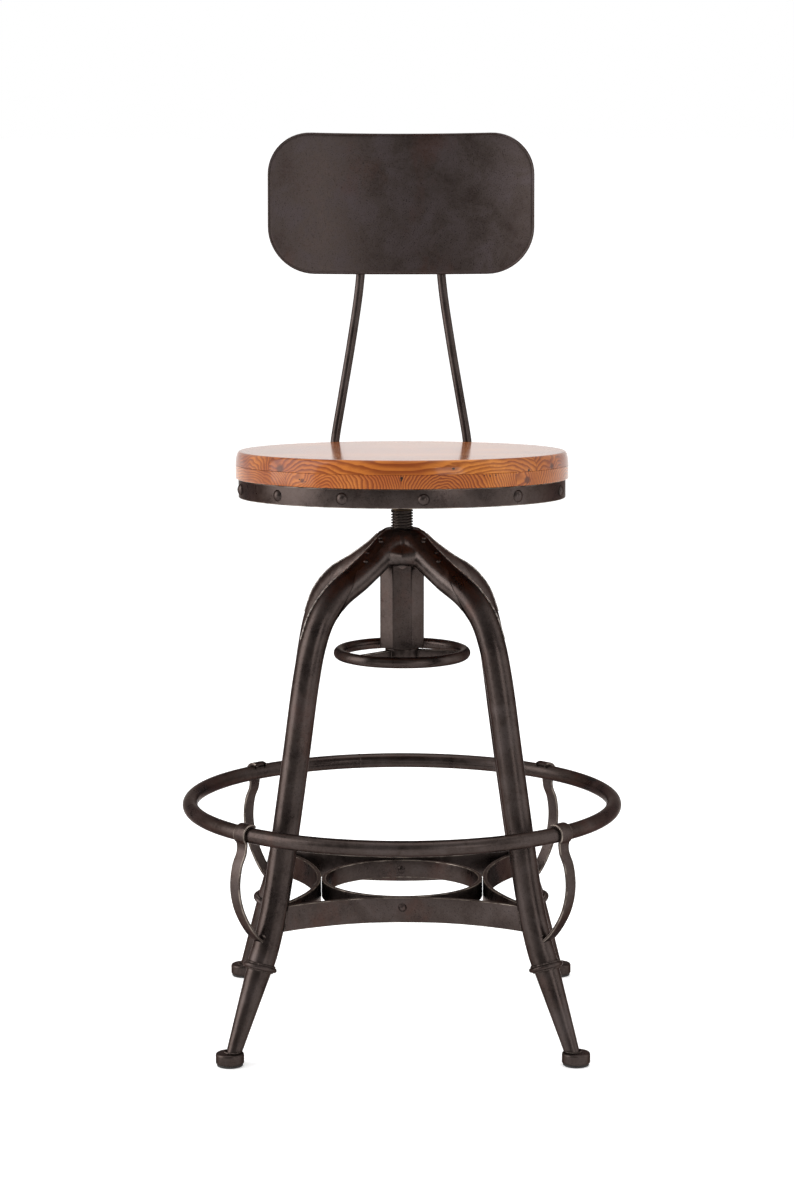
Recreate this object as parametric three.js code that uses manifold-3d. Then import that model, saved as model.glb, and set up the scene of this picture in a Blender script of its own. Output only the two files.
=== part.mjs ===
// Bar stool with a round footrest, a raked wooden seat, a steel backrest and a screw lift
// worked by a handwheel. Millimetres, +Z up, the front of the stool faces -Y.
// Origin: on the floor, under the centre of the column.

import * as THREE from "three";
import { mergeVertices } from "three/addons/utils/BufferGeometryUtils.js";
import Module from "manifold-3d";

const wasm = await Module();
wasm.setup();

// ---------------------------------------------------------------- driving dimensions

const GAP = 0.3; // clearance left between pieces that touch, rest or are welded
const RUNNING_GAP = 0.3; // radial clearance of the turning and sliding fits

// legs: centre line in the vertical plane of each leg, as [distance from axis, height]
const LEG_TUBE_R = 14.4;
const LEG_WALL = 2;
const LEG_CENTRE_LINE = [
  [14, 536], [34, 520], [66, 500], [98, 482], [121, 460], [134, 434],
  [144, 398], [159, 320], [175, 238], [191, 162], [206, 115],
];
const SPLAY = Math.atan(0.444); // lower leg, from the vertical
const FOOT_CENTRE_R = 257.4; // where the lower leg's axis meets the floor
const COLLAR_HEIGHT = 98;
const COLLAR_R = 18.5;
const COLLAR_THICKNESS = 5.4;
const COLLAR_TILT = THREE.MathUtils.degToRad(20);
const COLLAR_CLEARANCE = 1.6; // the collar leans a little less than the leg
const LOWER_LEG_TOP_R = 13.5;
const LOWER_LEG_BOTTOM_R = 8;
const FOOT_R = 15;
const FOOT_HEIGHT = 14;

// column and hub
const COLUMN_FLATS = 47.5; // octagonal tube, across flats
const COLUMN_BORE_FLATS = 39;
const COLUMN_BOTTOM = 416.5;
const COLUMN_TOP = 541;
const COLUMN_LIP = 4; // inward lip that carries the drive nut
const HUB_CAP_TOP = 546.5;

// footrest
const RING_TUBE_R = 8.3;
const RING_R = 240 - RING_TUBE_R; // centre line; the ring is 480 across
const RING_HEIGHT = 244;
const STRAP_WIDTH = 14;
const STRAP_THICKNESS = 3;

// lower brace: a ring with four bars bowed inwards to it
const BRACE_TOP = 159;
const BRACE_THICKNESS = 4.5;
const STRETCHER_HEIGHT = 27.5;
const BRACE_RING_R = 88.5;
const BRACE_RING_HEIGHT = 20;
const STRETCHER_SPAN = 138.7; // leg centre from the axis, along X and Y, at brace height

// screw lift
const SPINDLE_R = 12;
const JOURNAL_R = 8;
const SPINDLE_BOTTOM = 425;
const SPINDLE_SHOULDER = 566;
const JOURNAL_TOP = 588;
const KEY_WIDTH = 4.4;
const KEY_DEPTH = 2.8;
const NUT_R = 18.8;
const SPIGOT_R = 15;
const NUT_SHOULDER = 423.4;
const NUT_TOP = 535;
const NUT_BOTTOM = 398;

// handwheel
const WHEEL_R = 68.5; // centre line of the rim
const WHEEL_ROD_R = 6;
const WHEEL_HEIGHT = 409.7;
const WHEEL_HUB_R = 18.3;
const WHEEL_HUB_BOTTOM = 395.5;
const SPOKE_THICKNESS = 4;
const SPOKE_HEIGHT = 10;
const FIRST_SPOKE = -15; // degrees from +X
const SPOKE_COUNT = 3;

// seat, in a frame raked backwards about the X axis at RAKE_PIVOT
const RAKE_PIVOT = 600;
const SEAT_RAKE = THREE.MathUtils.degToRad(2.5);
const SEAT_R = 179.5;
const SEAT_TOP = 630.5;
const SEAT_JOINT = 615.75; // between the two boards
const SEAT_BOTTOM = 601.3;
const ROUND_OVER = 4.5; // how far the upper board's edge runs in
const BAND_R = 176.5;
const BAND_THICKNESS = 3;
const BAND_TOP = 600.3;
const BAND_BOTTOM = 580.8;
// degrees from +X; the rivets are spaced by eye
const RIVET_TURNS = [-168, -138, -111, -83, -47, -17, 13, 43, 73, 103, 133, 163];
const RIVET_HEAD_R = 6.5;
const RIVET_SHANK_R = 3;
const CROSS_WIDTH = 30;
const CROSS_THICKNESS = 5;

// backrest, in the seat's raked frame
const PLATE_WIDTH = 298;
const PLATE_HEIGHT = 158;
const PLATE_BOTTOM = 818;
const PLATE_BEND_R = 320;
const PLATE_THICKNESS = 2.4;
const PLATE_BACK = 187; // middle of the plate's front face, from the seat's axis
const PLATE_RECLINE = THREE.MathUtils.degToRad(2.5);
const PLATE_TOP_CORNER = 48;
const PLATE_BOTTOM_CORNER = 52;
const ROD_R = 5;
const ROD_TOP = 935;

// ---------------------------------------------------------------- materials

const bronzeSteel = () => new THREE.MeshStandardMaterial({ color: 0x48403b, roughness: 0.5, metalness: 0.85 });
const screwSteel = () => new THREE.MeshStandardMaterial({ color: 0x3c3733, roughness: 0.4, metalness: 0.9 });
const bearingBronze = () => new THREE.MeshStandardMaterial({ color: 0xa8834a, roughness: 0.4, metalness: 0.9 });
const pine = () => new THREE.MeshStandardMaterial({ color: 0xb86f35, roughness: 0.3, metalness: 0 });

// ---------------------------------------------------------------- helpers

function toSolid(geometry) {
  const bare = geometry.clone();
  bare.deleteAttribute("normal");
  bare.deleteAttribute("uv");
  const merged = mergeVertices(bare, 1e-4);
  return new wasm.Manifold(new wasm.Mesh({
    numProp: 3,
    vertProperties: new Float32Array(merged.attributes.position.array),
    triVerts: new Uint32Array(merged.index.array),
  }));
}

function toGeometry(solid) {
  const mesh = solid.getMesh();
  const geometry = new THREE.BufferGeometry();
  geometry.setAttribute("position", new THREE.BufferAttribute(mesh.vertProperties, 3));
  geometry.setIndex(new THREE.BufferAttribute(mesh.triVerts, 1));
  geometry.computeVertexNormals();
  return geometry;
}

function cut(geometry, ...cutters) {
  let solid = toSolid(geometry);
  for (const cutter of cutters) solid = solid.subtract(toSolid(cutter));
  return toGeometry(solid);
}

function join(...geometries) {
  let solid = toSolid(geometries[0]);
  for (const other of geometries.slice(1)) solid = solid.add(toSolid(other));
  return toGeometry(solid);
}

function common(first, second) {
  return toGeometry(toSolid(first).intersect(toSolid(second)));
}

// A solid of revolution about +Z from [radius, height] points.
function turned(points, segments) {
  const profile = points.map(([radius, height]) => new THREE.Vector2(radius, height));
  return new THREE.LatheGeometry(profile, segments).rotateX(Math.PI / 2);
}

function turnedRing(inner, outer, bottom, top, segments) {
  const corners = [[inner, bottom], [outer, bottom], [outer, top], [inner, top], [inner, bottom]];
  return turned(corners, segments);
}

function disc(radius, bottom, top, segments) {
  return turned([[0, bottom], [radius, bottom], [radius, top], [0, top]], segments);
}

function block(sizeX, sizeY, sizeZ, x, y, z) {
  return new THREE.BoxGeometry(sizeX, sizeY, sizeZ).translate(x, y, z);
}

function octagonPrism(flats, bottom, top) {
  const radius = flats / 2 / Math.cos(Math.PI / 8);
  const prism = new THREE.CylinderGeometry(radius, radius, top - bottom, 8);
  return prism.rotateX(Math.PI / 2).rotateZ(Math.PI / 8).translate(0, 0, (top + bottom) / 2);
}

function circleShape(radius, boreRadius) {
  const shape = new THREE.Shape().absarc(0, 0, radius, 0, 2 * Math.PI, false);
  if (boreRadius) shape.holes.push(new THREE.Path().absarc(0, 0, boreRadius, 0, 2 * Math.PI, true));
  return shape;
}

// the section of a bar that bends in the XZ plane: its width runs along Y
function flatBarShape(width, thickness) {
  const corners = [[-1, -1], [1, -1], [1, 1], [-1, 1]];
  return new THREE.Shape(corners.map(([x, y]) => new THREE.Vector2(x * width / 2, y * thickness / 2)));
}

function sweep(shape, path, steps, arcSegments) {
  const options = { steps, extrudePath: path, bevelEnabled: false, curveSegments: arcSegments };
  return new THREE.ExtrudeGeometry(shape, options);
}

// A smooth curve in the XZ plane through [distance from axis, height] points.
function radialCurve(points) {
  const places = points.map(([radius, height]) => new THREE.Vector3(radius, 0, height));
  return new THREE.CatmullRomCurve3(places, false, "centripetal");
}

function add(parent, name, geometry, material, turnDegrees = 0) {
  const mesh = new THREE.Mesh(geometry, material());
  mesh.name = name;
  mesh.rotation.z = THREE.MathUtils.degToRad(turnDegrees);
  parent.add(mesh);
  return mesh;
}

// ---------------------------------------------------------------- legs and feet

// the axis of the lower leg, as a distance from the stool's axis at a given height
const lowerLegRadius = (height) => FOOT_CENTRE_R - height * Math.tan(SPLAY);

function legPath() {
  const collarTop = COLLAR_HEIGHT + (COLLAR_THICKNESS / 2 + COLLAR_CLEARANCE) * Math.cos(SPLAY);
  return radialCurve([...LEG_CENTRE_LINE, [lowerLegRadius(collarTop), collarTop]]);
}

function upperLeg() {
  const tube = sweep(circleShape(LEG_TUBE_R, LEG_TUBE_R - LEG_WALL), legPath(), 22, 7);
  return cut(tube, octagonPrism(COLUMN_FLATS + 2 * GAP, COLUMN_BOTTOM, COLUMN_TOP + 20));
}

// a solid leg, slightly fat, that copes whatever is welded to the leg
function legCutter() {
  return sweep(circleShape(LEG_TUBE_R + GAP), legPath(), 22, 7);
}

function onLowerLeg(geometry, tilt, height) {
  return geometry.rotateY(-tilt).translate(lowerLegRadius(height), 0, height);
}

function legCollar() {
  const half = COLLAR_THICKNESS / 2;
  const inner = LOWER_LEG_TOP_R - 3;
  const profile = [
    [inner, -half], [COLLAR_R - 2.5, -half], [COLLAR_R - 0.7, -half + 1], [COLLAR_R, 0],
    [COLLAR_R - 0.7, half - 1], [COLLAR_R - 2.5, half], [inner, half], [inner, -half],
  ];
  return onLowerLeg(turned(profile, 20), COLLAR_TILT, COLLAR_HEIGHT);
}

function lowerLeg() {
  const length = COLLAR_HEIGHT / Math.cos(SPLAY);
  const top = -COLLAR_THICKNESS / 2 - COLLAR_CLEARANCE;
  const profile = [
    [0, -length], [LOWER_LEG_BOTTOM_R - 0.8, -length], [LOWER_LEG_TOP_R, top], [0, top],
  ];
  const cone = onLowerLeg(turned(profile, 20), SPLAY, COLLAR_HEIGHT);
  return cut(cone, block(100, 100, 50, FOOT_CENTRE_R, 0, FOOT_HEIGHT + GAP - 25));
}

function foot() {
  const edge = 1.6;
  const profile = [
    [0, 0], [FOOT_R - edge, 0], [FOOT_R, edge], [FOOT_R, FOOT_HEIGHT - edge],
    [FOOT_R - edge, FOOT_HEIGHT], [0, FOOT_HEIGHT],
  ];
  return turned(profile, 24).translate(FOOT_CENTRE_R, 0, 0);
}

// ---------------------------------------------------------------- column and hub

function column() {
  const tube = cut(
    octagonPrism(COLUMN_FLATS, COLUMN_BOTTOM, COLUMN_TOP),
    octagonPrism(COLUMN_BORE_FLATS, COLUMN_BOTTOM + COLUMN_LIP, COLUMN_TOP + 1),
  );
  return cut(tube, disc(SPIGOT_R + RUNNING_GAP, COLUMN_BOTTOM - 1, COLUMN_TOP, 28));
}

function hubCap() {
  const bore = SPINDLE_R + RUNNING_GAP + 0.2;
  const bottom = COLUMN_TOP + GAP;
  const profile = [
    [bore, bottom], [22, bottom], [22, bottom + 1.6], [17, HUB_CAP_TOP], [bore, HUB_CAP_TOP], [bore, bottom],
  ];
  const notchDepth = bore + 2;
  const notch = block(KEY_WIDTH + 2 * GAP, notchDepth, 20, 0, notchDepth / 2, bottom);
  return cut(turned(profile, 28), notch);
}

// a feather in the cap's notch that stops the spindle from turning
function spindleKey() {
  const inner = SPINDLE_R - KEY_DEPTH + RUNNING_GAP;
  const outer = SPINDLE_R + RUNNING_GAP + 1.8;
  const bottom = COLUMN_TOP + GAP;
  const height = HUB_CAP_TOP - bottom - 0.5;
  return block(KEY_WIDTH, outer - inner, height, 0, (inner + outer) / 2, bottom + height / 2);
}

// ---------------------------------------------------------------- footrest

function footrestRing() {
  return new THREE.TorusGeometry(RING_R, RING_TUBE_R, 12, 64).translate(0, 0, RING_HEIGHT);
}

// Flat bar from the leg, out and up, then hooked over the ring.
function footrestStrap() {
  const hook = RING_TUBE_R + STRAP_THICKNESS / 2 + GAP + 0.3;
  const aroundRing = [-50, -15, 20, 60, 100].map((degrees) => {
    const angle = THREE.MathUtils.degToRad(degrees);
    return [RING_R + hook * Math.cos(angle), RING_HEIGHT + hook * Math.sin(angle)];
  });
  const route = [[206, 121], [219, 130], [233, 147], [243.5, 167], [248, 190], [245, 212], [238.5, 226]];
  const path = radialCurve([...route, ...aroundRing, [222, 250]]);
  return cut(sweep(flatBarShape(STRAP_WIDTH, STRAP_THICKNESS), path, 40, 1), legCutter());
}

// ---------------------------------------------------------------- lower brace

const braceMiddle = BRACE_TOP - BRACE_RING_HEIGHT / 2 - 1;

function rivetHole(radius, from, to) {
  const hole = new THREE.CylinderGeometry(radius, radius, to - from, 14);
  return hole.rotateZ(Math.PI / 2).translate((from + to) / 2, 0, braceMiddle);
}

function braceRing() {
  const bottom = BRACE_TOP - BRACE_RING_HEIGHT;
  const ring = turnedRing(BRACE_RING_R - BRACE_THICKNESS, BRACE_RING_R, bottom, BRACE_TOP, 48);
  const hole = () => rivetHole(RIVET_SHANK_R + GAP, BRACE_RING_R - 10, BRACE_RING_R + 5);
  return cut(ring, ...[0, 90, 180, 270].map((turn) => hole().rotateZ(THREE.MathUtils.degToRad(turn))));
}

// A bar on edge between the two legs at +X, its middle bowed in to the brace ring.
function stretcher() {
  const inner = BRACE_RING_R + GAP;
  const outer = inner + BRACE_THICKNESS;
  const halfChord = STRETCHER_SPAN;
  const bow = STRETCHER_SPAN - inner;
  const bendR = (halfChord * halfChord + bow * bow) / (2 * bow);
  const centre = inner + bendR;
  const sweepAngle = Math.asin(halfChord / bendR);
  const plan = new THREE.Shape();
  plan.absarc(centre, 0, bendR, Math.PI - sweepAngle, Math.PI + sweepAngle, false);
  plan.absarc(centre, 0, bendR - (outer - inner), Math.PI + sweepAngle, Math.PI - sweepAngle, true);
  const options = { depth: STRETCHER_HEIGHT, bevelEnabled: false, curveSegments: 20 };
  const bar = new THREE.ExtrudeGeometry(plan, options).translate(0, 0, BRACE_TOP - STRETCHER_HEIGHT);
  const legs = [45, -45].map((turn) => legCutter().rotateZ(THREE.MathUtils.degToRad(turn)));
  return cut(bar, ...legs, rivetHole(RIVET_SHANK_R + GAP, inner - 5, outer + 5));
}

// A rivet along +X: domed head outside, flat tail inside.
function rivet(headR, headHeight, inside, outside) {
  const profile = [
    [0, inside - 1.6], [headR * 0.7, inside - 1.6], [headR * 0.7, inside - GAP], [RIVET_SHANK_R, inside - GAP],
    [RIVET_SHANK_R, outside + GAP], [headR, outside + GAP], [headR * 0.82, outside + headHeight * 0.6],
    [headR * 0.45, outside + headHeight * 0.92], [0, outside + headHeight],
  ];
  return turned(profile, 12).rotateY(Math.PI / 2);
}

// ---------------------------------------------------------------- screw lift and handwheel

function spindle() {
  const profile = [
    [0, SPINDLE_BOTTOM], [SPINDLE_R - 1, SPINDLE_BOTTOM], [SPINDLE_R, SPINDLE_BOTTOM + 1],
    [SPINDLE_R, SPINDLE_SHOULDER], [JOURNAL_R, SPINDLE_SHOULDER], [JOURNAL_R, JOURNAL_TOP], [0, JOURNAL_TOP],
  ];
  const length = SPINDLE_SHOULDER - SPINDLE_BOTTOM - 4;
  const keyway = block(KEY_WIDTH + 2 * GAP, KEY_DEPTH + 2, length, 0, SPINDLE_R + 1 - KEY_DEPTH / 2,
    SPINDLE_BOTTOM - 1 + length / 2);
  return cut(turned(profile, 32), keyway);
}

function driveNut() {
  const bore = SPINDLE_R + RUNNING_GAP;
  const profile = [
    [bore, NUT_BOTTOM], [SPIGOT_R, NUT_BOTTOM], [SPIGOT_R, NUT_SHOULDER], [NUT_R, NUT_SHOULDER],
    [NUT_R, NUT_TOP], [bore, NUT_TOP], [bore, NUT_BOTTOM],
  ];
  return turned(profile, 28);
}

function thrustWasher() {
  const bottom = COLUMN_BOTTOM + COLUMN_LIP + GAP;
  return turnedRing(SPIGOT_R + RUNNING_GAP, NUT_R - 0.2, bottom, NUT_SHOULDER - GAP, 28);
}

function wheelSpider() {
  const hub = turnedRing(SPIGOT_R + GAP, WHEEL_HUB_R, WHEEL_HUB_BOTTOM, COLUMN_BOTTOM - 0.5, 28);
  const inner = SPIGOT_R + GAP + 1;
  const length = WHEEL_R - WHEEL_ROD_R - GAP - inner;
  const spokes = [];
  for (let i = 0; i < SPOKE_COUNT; i += 1) {
    const turn = THREE.MathUtils.degToRad(FIRST_SPOKE + i * 360 / SPOKE_COUNT);
    spokes.push(block(length, SPOKE_THICKNESS, SPOKE_HEIGHT, inner + length / 2, 0, WHEEL_HEIGHT).rotateZ(turn));
  }
  return join(hub, ...spokes);
}

function wheelRim() {
  return new THREE.TorusGeometry(WHEEL_R, WHEEL_ROD_R, 10, 48).translate(0, 0, WHEEL_HEIGHT);
}

function swivelWasher() {
  return turnedRing(JOURNAL_R + RUNNING_GAP, SPINDLE_R - 0.4, SPINDLE_SHOULDER + GAP, SPINDLE_SHOULDER + 2, 28);
}

function swivelNut() {
  const hexagon = disc(13, JOURNAL_TOP - 5.5, JOURNAL_TOP - 0.5, 6);
  return cut(hexagon, disc(JOURNAL_R + GAP, JOURNAL_TOP - 10, JOURNAL_TOP, 28));
}

// ---------------------------------------------------------------- seat

// From the raked frame, heights given from the floor, to the frame of the whole stool.
function raked(geometry) {
  return geometry.translate(0, 0, -RAKE_PIVOT).rotateX(-SEAT_RAKE).translate(0, 0, RAKE_PIVOT);
}

// Level bearing housing; its flange is cut to the slope of the seat cross.
function swivelBoss() {
  const bore = JOURNAL_R + RUNNING_GAP;
  const bottom = SPINDLE_SHOULDER + 2 + GAP;
  const floorOfRecess = JOURNAL_TOP - 6;
  const profile = [
    [bore, bottom], [SPINDLE_R + 0.5, bottom], [19, 575], [19, 582], [44, 587], [44, 602], [14.5, 602],
    [14.5, floorOfRecess], [bore, floorOfRecess], [bore, bottom],
  ];
  const underCross = BAND_TOP - CROSS_THICKNESS - GAP;
  return cut(turned(profile, 28), raked(block(200, 200, 40, 0, 0, underCross + 20)));
}

function seatCross() {
  const length = 2 * (BAND_R - BAND_THICKNESS - 1.2);
  const middle = BAND_TOP + 0.5 - CROSS_THICKNESS / 2;
  const bar = () => block(length, CROSS_WIDTH, CROSS_THICKNESS, 0, 0, middle);
  return join(bar(), bar().rotateZ(Math.PI / 2));
}

function seatBand() {
  const ring = turnedRing(BAND_R - BAND_THICKNESS, BAND_R, BAND_BOTTOM, BAND_TOP, 72);
  const holes = [];
  for (const turn of RIVET_TURNS) {
    const hole = new THREE.CylinderGeometry(RIVET_SHANK_R + GAP, RIVET_SHANK_R + GAP, 20, 10);
    hole.rotateZ(Math.PI / 2).translate(BAND_R, 0, (BAND_TOP + BAND_BOTTOM) / 2);
    holes.push(hole.rotateZ(THREE.MathUtils.degToRad(turn)));
  }
  return cut(ring, ...holes);
}

function bandRivet() {
  const middle = (BAND_TOP + BAND_BOTTOM) / 2;
  return rivet(RIVET_HEAD_R, 3.6, BAND_R - BAND_THICKNESS, BAND_R).translate(0, 0, middle);
}

function lowerBoard() {
  return disc(SEAT_R, SEAT_BOTTOM, SEAT_JOINT - GAP / 2, 64);
}

function upperBoard() {
  const bottom = SEAT_JOINT + GAP / 2;
  const profile = [[0, bottom], [SEAT_R, bottom]];
  const arcSteps = 5;
  for (let i = 1; i <= arcSteps; i += 1) {
    const angle = (i / arcSteps) * Math.PI / 2;
    const radius = SEAT_R - ROUND_OVER * (1 - Math.cos(angle));
    profile.push([radius, bottom + (SEAT_TOP - bottom) * Math.sin(angle)]);
  }
  profile.push([0, SEAT_TOP]);
  return turned(profile, 64);
}

// ---------------------------------------------------------------- backrest

function plateOutline() {
  const half = PLATE_WIDTH / 2;
  const top = PLATE_HEIGHT;
  const high = PLATE_TOP_CORNER;
  const low = PLATE_BOTTOM_CORNER;
  const outline = new THREE.Shape();
  outline.moveTo(-half + low, 0);
  outline.lineTo(half - low, 0);
  outline.absarc(half - low, low, low, -Math.PI / 2, 0, false);
  outline.absarc(half - high, top - high, high, 0, Math.PI / 2, false);
  outline.absarc(-half + high, top - high, high, Math.PI / 2, Math.PI, false);
  outline.absarc(-half + low, low, low, Math.PI, 1.5 * Math.PI, false);
  return outline;
}

// Sheet bent to a cylinder, trimmed to the outline, then reclined about its bottom edge.
function backrestPlate() {
  const sheet = turnedRing(PLATE_BEND_R, PLATE_BEND_R + PLATE_THICKNESS, -10, PLATE_HEIGHT + 10, 120);
  const options = { depth: PLATE_BEND_R, bevelEnabled: false, curveSegments: 8 };
  const prism = new THREE.ExtrudeGeometry(plateOutline(), options).rotateX(Math.PI / 2);
  const plate = common(sheet, prism.translate(0, PLATE_BEND_R + 10, 0));
  return plate.translate(0, PLATE_BACK - PLATE_BEND_R, 0).rotateX(-PLATE_RECLINE)
    .translate(0, PLATE_BACK * (1 - Math.cos(PLATE_RECLINE)), PLATE_BOTTOM + PLATE_BACK * Math.sin(PLATE_RECLINE));
}

// Rod welded to the band at its foot and to the back of the plate at its top; side is 1 or -1.
function backrestRod(side) {
  const behindPlate = PLATE_BACK + PLATE_THICKNESS + ROD_R - 3 + GAP;
  const places = [
    [80, 163.6, BAND_BOTTOM + 1], [79.2, 164.2, BAND_TOP - 10], [78, 168.4, BAND_TOP + 1], [76, 169.6, 614],
    [74.5, 170.4, 632], [66.5, 175, 680], [56, 181.5, 742], [47.5, behindPlate - 1, 800],
    [45, behindPlate + 0.4, 830], [45, behindPlate + 2.6, 880], [45, behindPlate + 5, ROD_TOP],
  ].map(([x, y, z]) => new THREE.Vector3(side * x, y, z));
  return sweep(circleShape(ROD_R), new THREE.CatmullRomCurve3(places, false, "centripetal"), 26, 5);
}

// ---------------------------------------------------------------- assembly

const CORNERS = [["front_right", -45], ["rear_right", 45], ["rear_left", 135], ["front_left", 225]];
const SIDES = [["right", 0], ["rear", 90], ["left", 180], ["front", 270]];

function addBase(stool) {
  for (const [corner, turn] of CORNERS) {
    add(stool, `leg_upper_${corner}`, upperLeg(), bronzeSteel, turn);
    add(stool, `leg_collar_${corner}`, legCollar(), bronzeSteel, turn);
    add(stool, `leg_lower_${corner}`, lowerLeg(), bronzeSteel, turn);
    add(stool, `foot_${corner}`, foot(), bronzeSteel, turn);
    add(stool, `footrest_strap_${corner}`, footrestStrap(), bronzeSteel, turn);
  }
  for (const [side, turn] of SIDES) {
    const rivetInside = BRACE_RING_R - BRACE_THICKNESS;
    const rivetOutside = BRACE_RING_R + GAP + BRACE_THICKNESS;
    add(stool, `stretcher_${side}`, stretcher(), bronzeSteel, turn);
    add(stool, `brace_rivet_${side}`, rivet(5, 3, rivetInside, rivetOutside).translate(0, 0, braceMiddle),
      bronzeSteel, turn);
  }
  add(stool, "footrest_ring", footrestRing(), bronzeSteel);
  add(stool, "brace_ring", braceRing(), bronzeSteel);
  add(stool, "column", column(), bronzeSteel);
  add(stool, "hub_cap", hubCap(), bronzeSteel);
  add(stool, "spindle_key", spindleKey(), screwSteel);
  add(stool, "thrust_washer", thrustWasher(), bearingBronze);
}

function addLift(stool) {
  add(stool, "spindle", spindle(), screwSteel);
  add(stool, "swivel_washer", swivelWasher(), bearingBronze);
  add(stool, "swivel_nut", swivelNut(), screwSteel);
  add(stool, "drive_nut", driveNut(), screwSteel);
  add(stool, "handwheel_spider", wheelSpider(), bronzeSteel);
  add(stool, "handwheel_rim", wheelRim(), bronzeSteel);
}

function addSeat(stool) {
  const seat = new THREE.Group();
  seat.position.z = RAKE_PIVOT;
  seat.rotation.x = -SEAT_RAKE;
  const fromFloor = new THREE.Group();
  fromFloor.position.z = -RAKE_PIVOT;
  seat.add(fromFloor);
  stool.add(seat);
  add(stool, "swivel_boss", swivelBoss(), bronzeSteel);
  add(fromFloor, "seat_cross", seatCross(), bronzeSteel);
  add(fromFloor, "seat_band", seatBand(), bronzeSteel);
  add(fromFloor, "seat_lower_board", lowerBoard(), pine);
  add(fromFloor, "seat_upper_board", upperBoard(), pine);
  RIVET_TURNS.forEach((turn, i) => add(fromFloor, `band_rivet_${i + 1}`, bandRivet(), bronzeSteel, turn));
  add(fromFloor, "backrest_plate", backrestPlate(), bronzeSteel);
  add(fromFloor, "backrest_rod_right", backrestRod(1), bronzeSteel);
  add(fromFloor, "backrest_rod_left", backrestRod(-1), bronzeSteel);
}

const stool = new THREE.Group();
addBase(stool);
addLift(stool);
addSeat(stool);

export default stool;
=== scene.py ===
"""Bar stool with a round footrest, a pine seat on a riveted steel band, a steel backrest and a screw lift.

Shapes are made in millimetres in the part's frame (+Z up, the front faces -Y, the origin is on the
floor under the column) and scaled to metres. Each shape is a tuple: an array of points, a list of
faces, and a list of material numbers, one per face. Outlines are lists of [radius, height].
"""

import math

import bmesh
import bpy
import numpy as np
from mathutils import Matrix, Vector


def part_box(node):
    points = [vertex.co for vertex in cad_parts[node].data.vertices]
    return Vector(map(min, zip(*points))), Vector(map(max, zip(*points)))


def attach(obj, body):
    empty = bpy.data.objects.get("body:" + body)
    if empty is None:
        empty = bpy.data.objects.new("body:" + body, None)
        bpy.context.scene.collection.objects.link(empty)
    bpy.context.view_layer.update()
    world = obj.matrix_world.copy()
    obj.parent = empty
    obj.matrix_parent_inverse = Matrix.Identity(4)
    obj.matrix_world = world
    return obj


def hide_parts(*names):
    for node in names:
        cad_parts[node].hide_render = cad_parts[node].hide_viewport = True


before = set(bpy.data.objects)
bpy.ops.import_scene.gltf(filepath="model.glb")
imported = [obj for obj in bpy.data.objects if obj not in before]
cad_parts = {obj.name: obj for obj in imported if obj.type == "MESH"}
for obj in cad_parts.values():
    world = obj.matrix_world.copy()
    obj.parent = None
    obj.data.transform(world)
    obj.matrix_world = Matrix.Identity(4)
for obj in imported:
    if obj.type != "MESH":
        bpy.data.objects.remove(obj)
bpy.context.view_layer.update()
rng = np.random.default_rng(41)

# ---------------- dimensions, in millimetres

MM = 0.001
PLAIN, RUBBED, WELDED, EXTRA = range(4)  # material numbers of a steel piece's faces
CREASE = 38  # degrees between two faces from which their edge reads as sharp
CORNERS = {"front_right": -45, "rear_right": 45, "rear_left": 135, "front_left": 225}
SIDES = {"right": 0, "rear": 90, "left": 180, "front": 270}

LEG_R = 14.4
LEG_LINE = [
    (14, 536), (34, 520), (66, 500), (98, 482), (121, 460), (134, 434),
    (144, 398), (159, 320), (175, 238), (191, 162), (206, 115),
]
UPPER_LEG_START = 25  # where the tube begins, inside the hub
SPLAY = math.atan(0.444)
FOOT_CENTRE_R = 257.4
COLLAR_HEIGHT = 98
COLLAR_R = 18.5
COLLAR_THICKNESS = 5.4
COLLAR_TILT = math.radians(20)
LOWER_LEG_TOP_R = 13.5
LOWER_LEG_BOTTOM_R = 7.2
FOOT_R = 15
FOOT_HEIGHT = 14
GLIDE_HEIGHT = 2.6

COLUMN_FLATS = 47.5
COLUMN_BORE_FLATS = 39
COLUMN_BOTTOM = 416.5
COLUMN_TOP = 528
COLUMN_LIP = [(15.3, 0.5), (15.8, 0), (21.4, 0), (22.6, 1.3), (19.4, 4), (15.3, 4), (15.3, 0.5)]

HUB_TOP = 546.3
HUB_FLAT_R = 13  # the crown is level up to here and then falls away
HUB_CROWN = [(0, 500), (23, 500), (25, 512), (25, 522), (23.5, 534), (21, 541), (16, HUB_TOP), (0, HUB_TOP)]
HUB_BORE = [(0, 490), (19.4, 490), (19.4, 538), (12.7, 541), (12.7, 560), (0, 560)]
HUB_ARM_R = 15.2
HUB_ARM_DROP = 0.9  # the arm's middle lies this far under the tube's, so that their tops are flush
HUB_ARM_START = 16
HUB_ARM_END = 108
HUB_WEB_END = 34
HUB_WEB_R = 8.8
HUB_WEB_FLARE = 13
HUB_WEB_VALLEY = 2.5
HUB_SEAM_LEAN = 26  # degrees off the arm's top
HUB_TACKS = ((24, 4, 2.4), (28, 17, 2.6), (45, 5, 2.3), (56, 30, 2.6))  # place, degrees off the top, radius

RING_R = 231.7
RING_TUBE_R = 8.3
RING_HEIGHT = 244
STRAP_WIDTH = 14
STRAP_THICKNESS = 3
STRAP_LINE = [(206, 121), (219, 130), (233, 147), (243.5, 167), (248, 190), (245, 212), (238.5, 226)]

BRACE_TOP = 159
BRACE_THICKNESS = 4.5
STRETCHER_HEIGHT = 27.5
BRACE_RING_R = 88.5
BRACE_RING_HEIGHT = 20
BRACE_MIDDLE = 148
STRETCHER_SPAN = 138.7
REAR_STRETCHER_LIFT = 2.2  # it is welded on a little higher than the others

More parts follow.
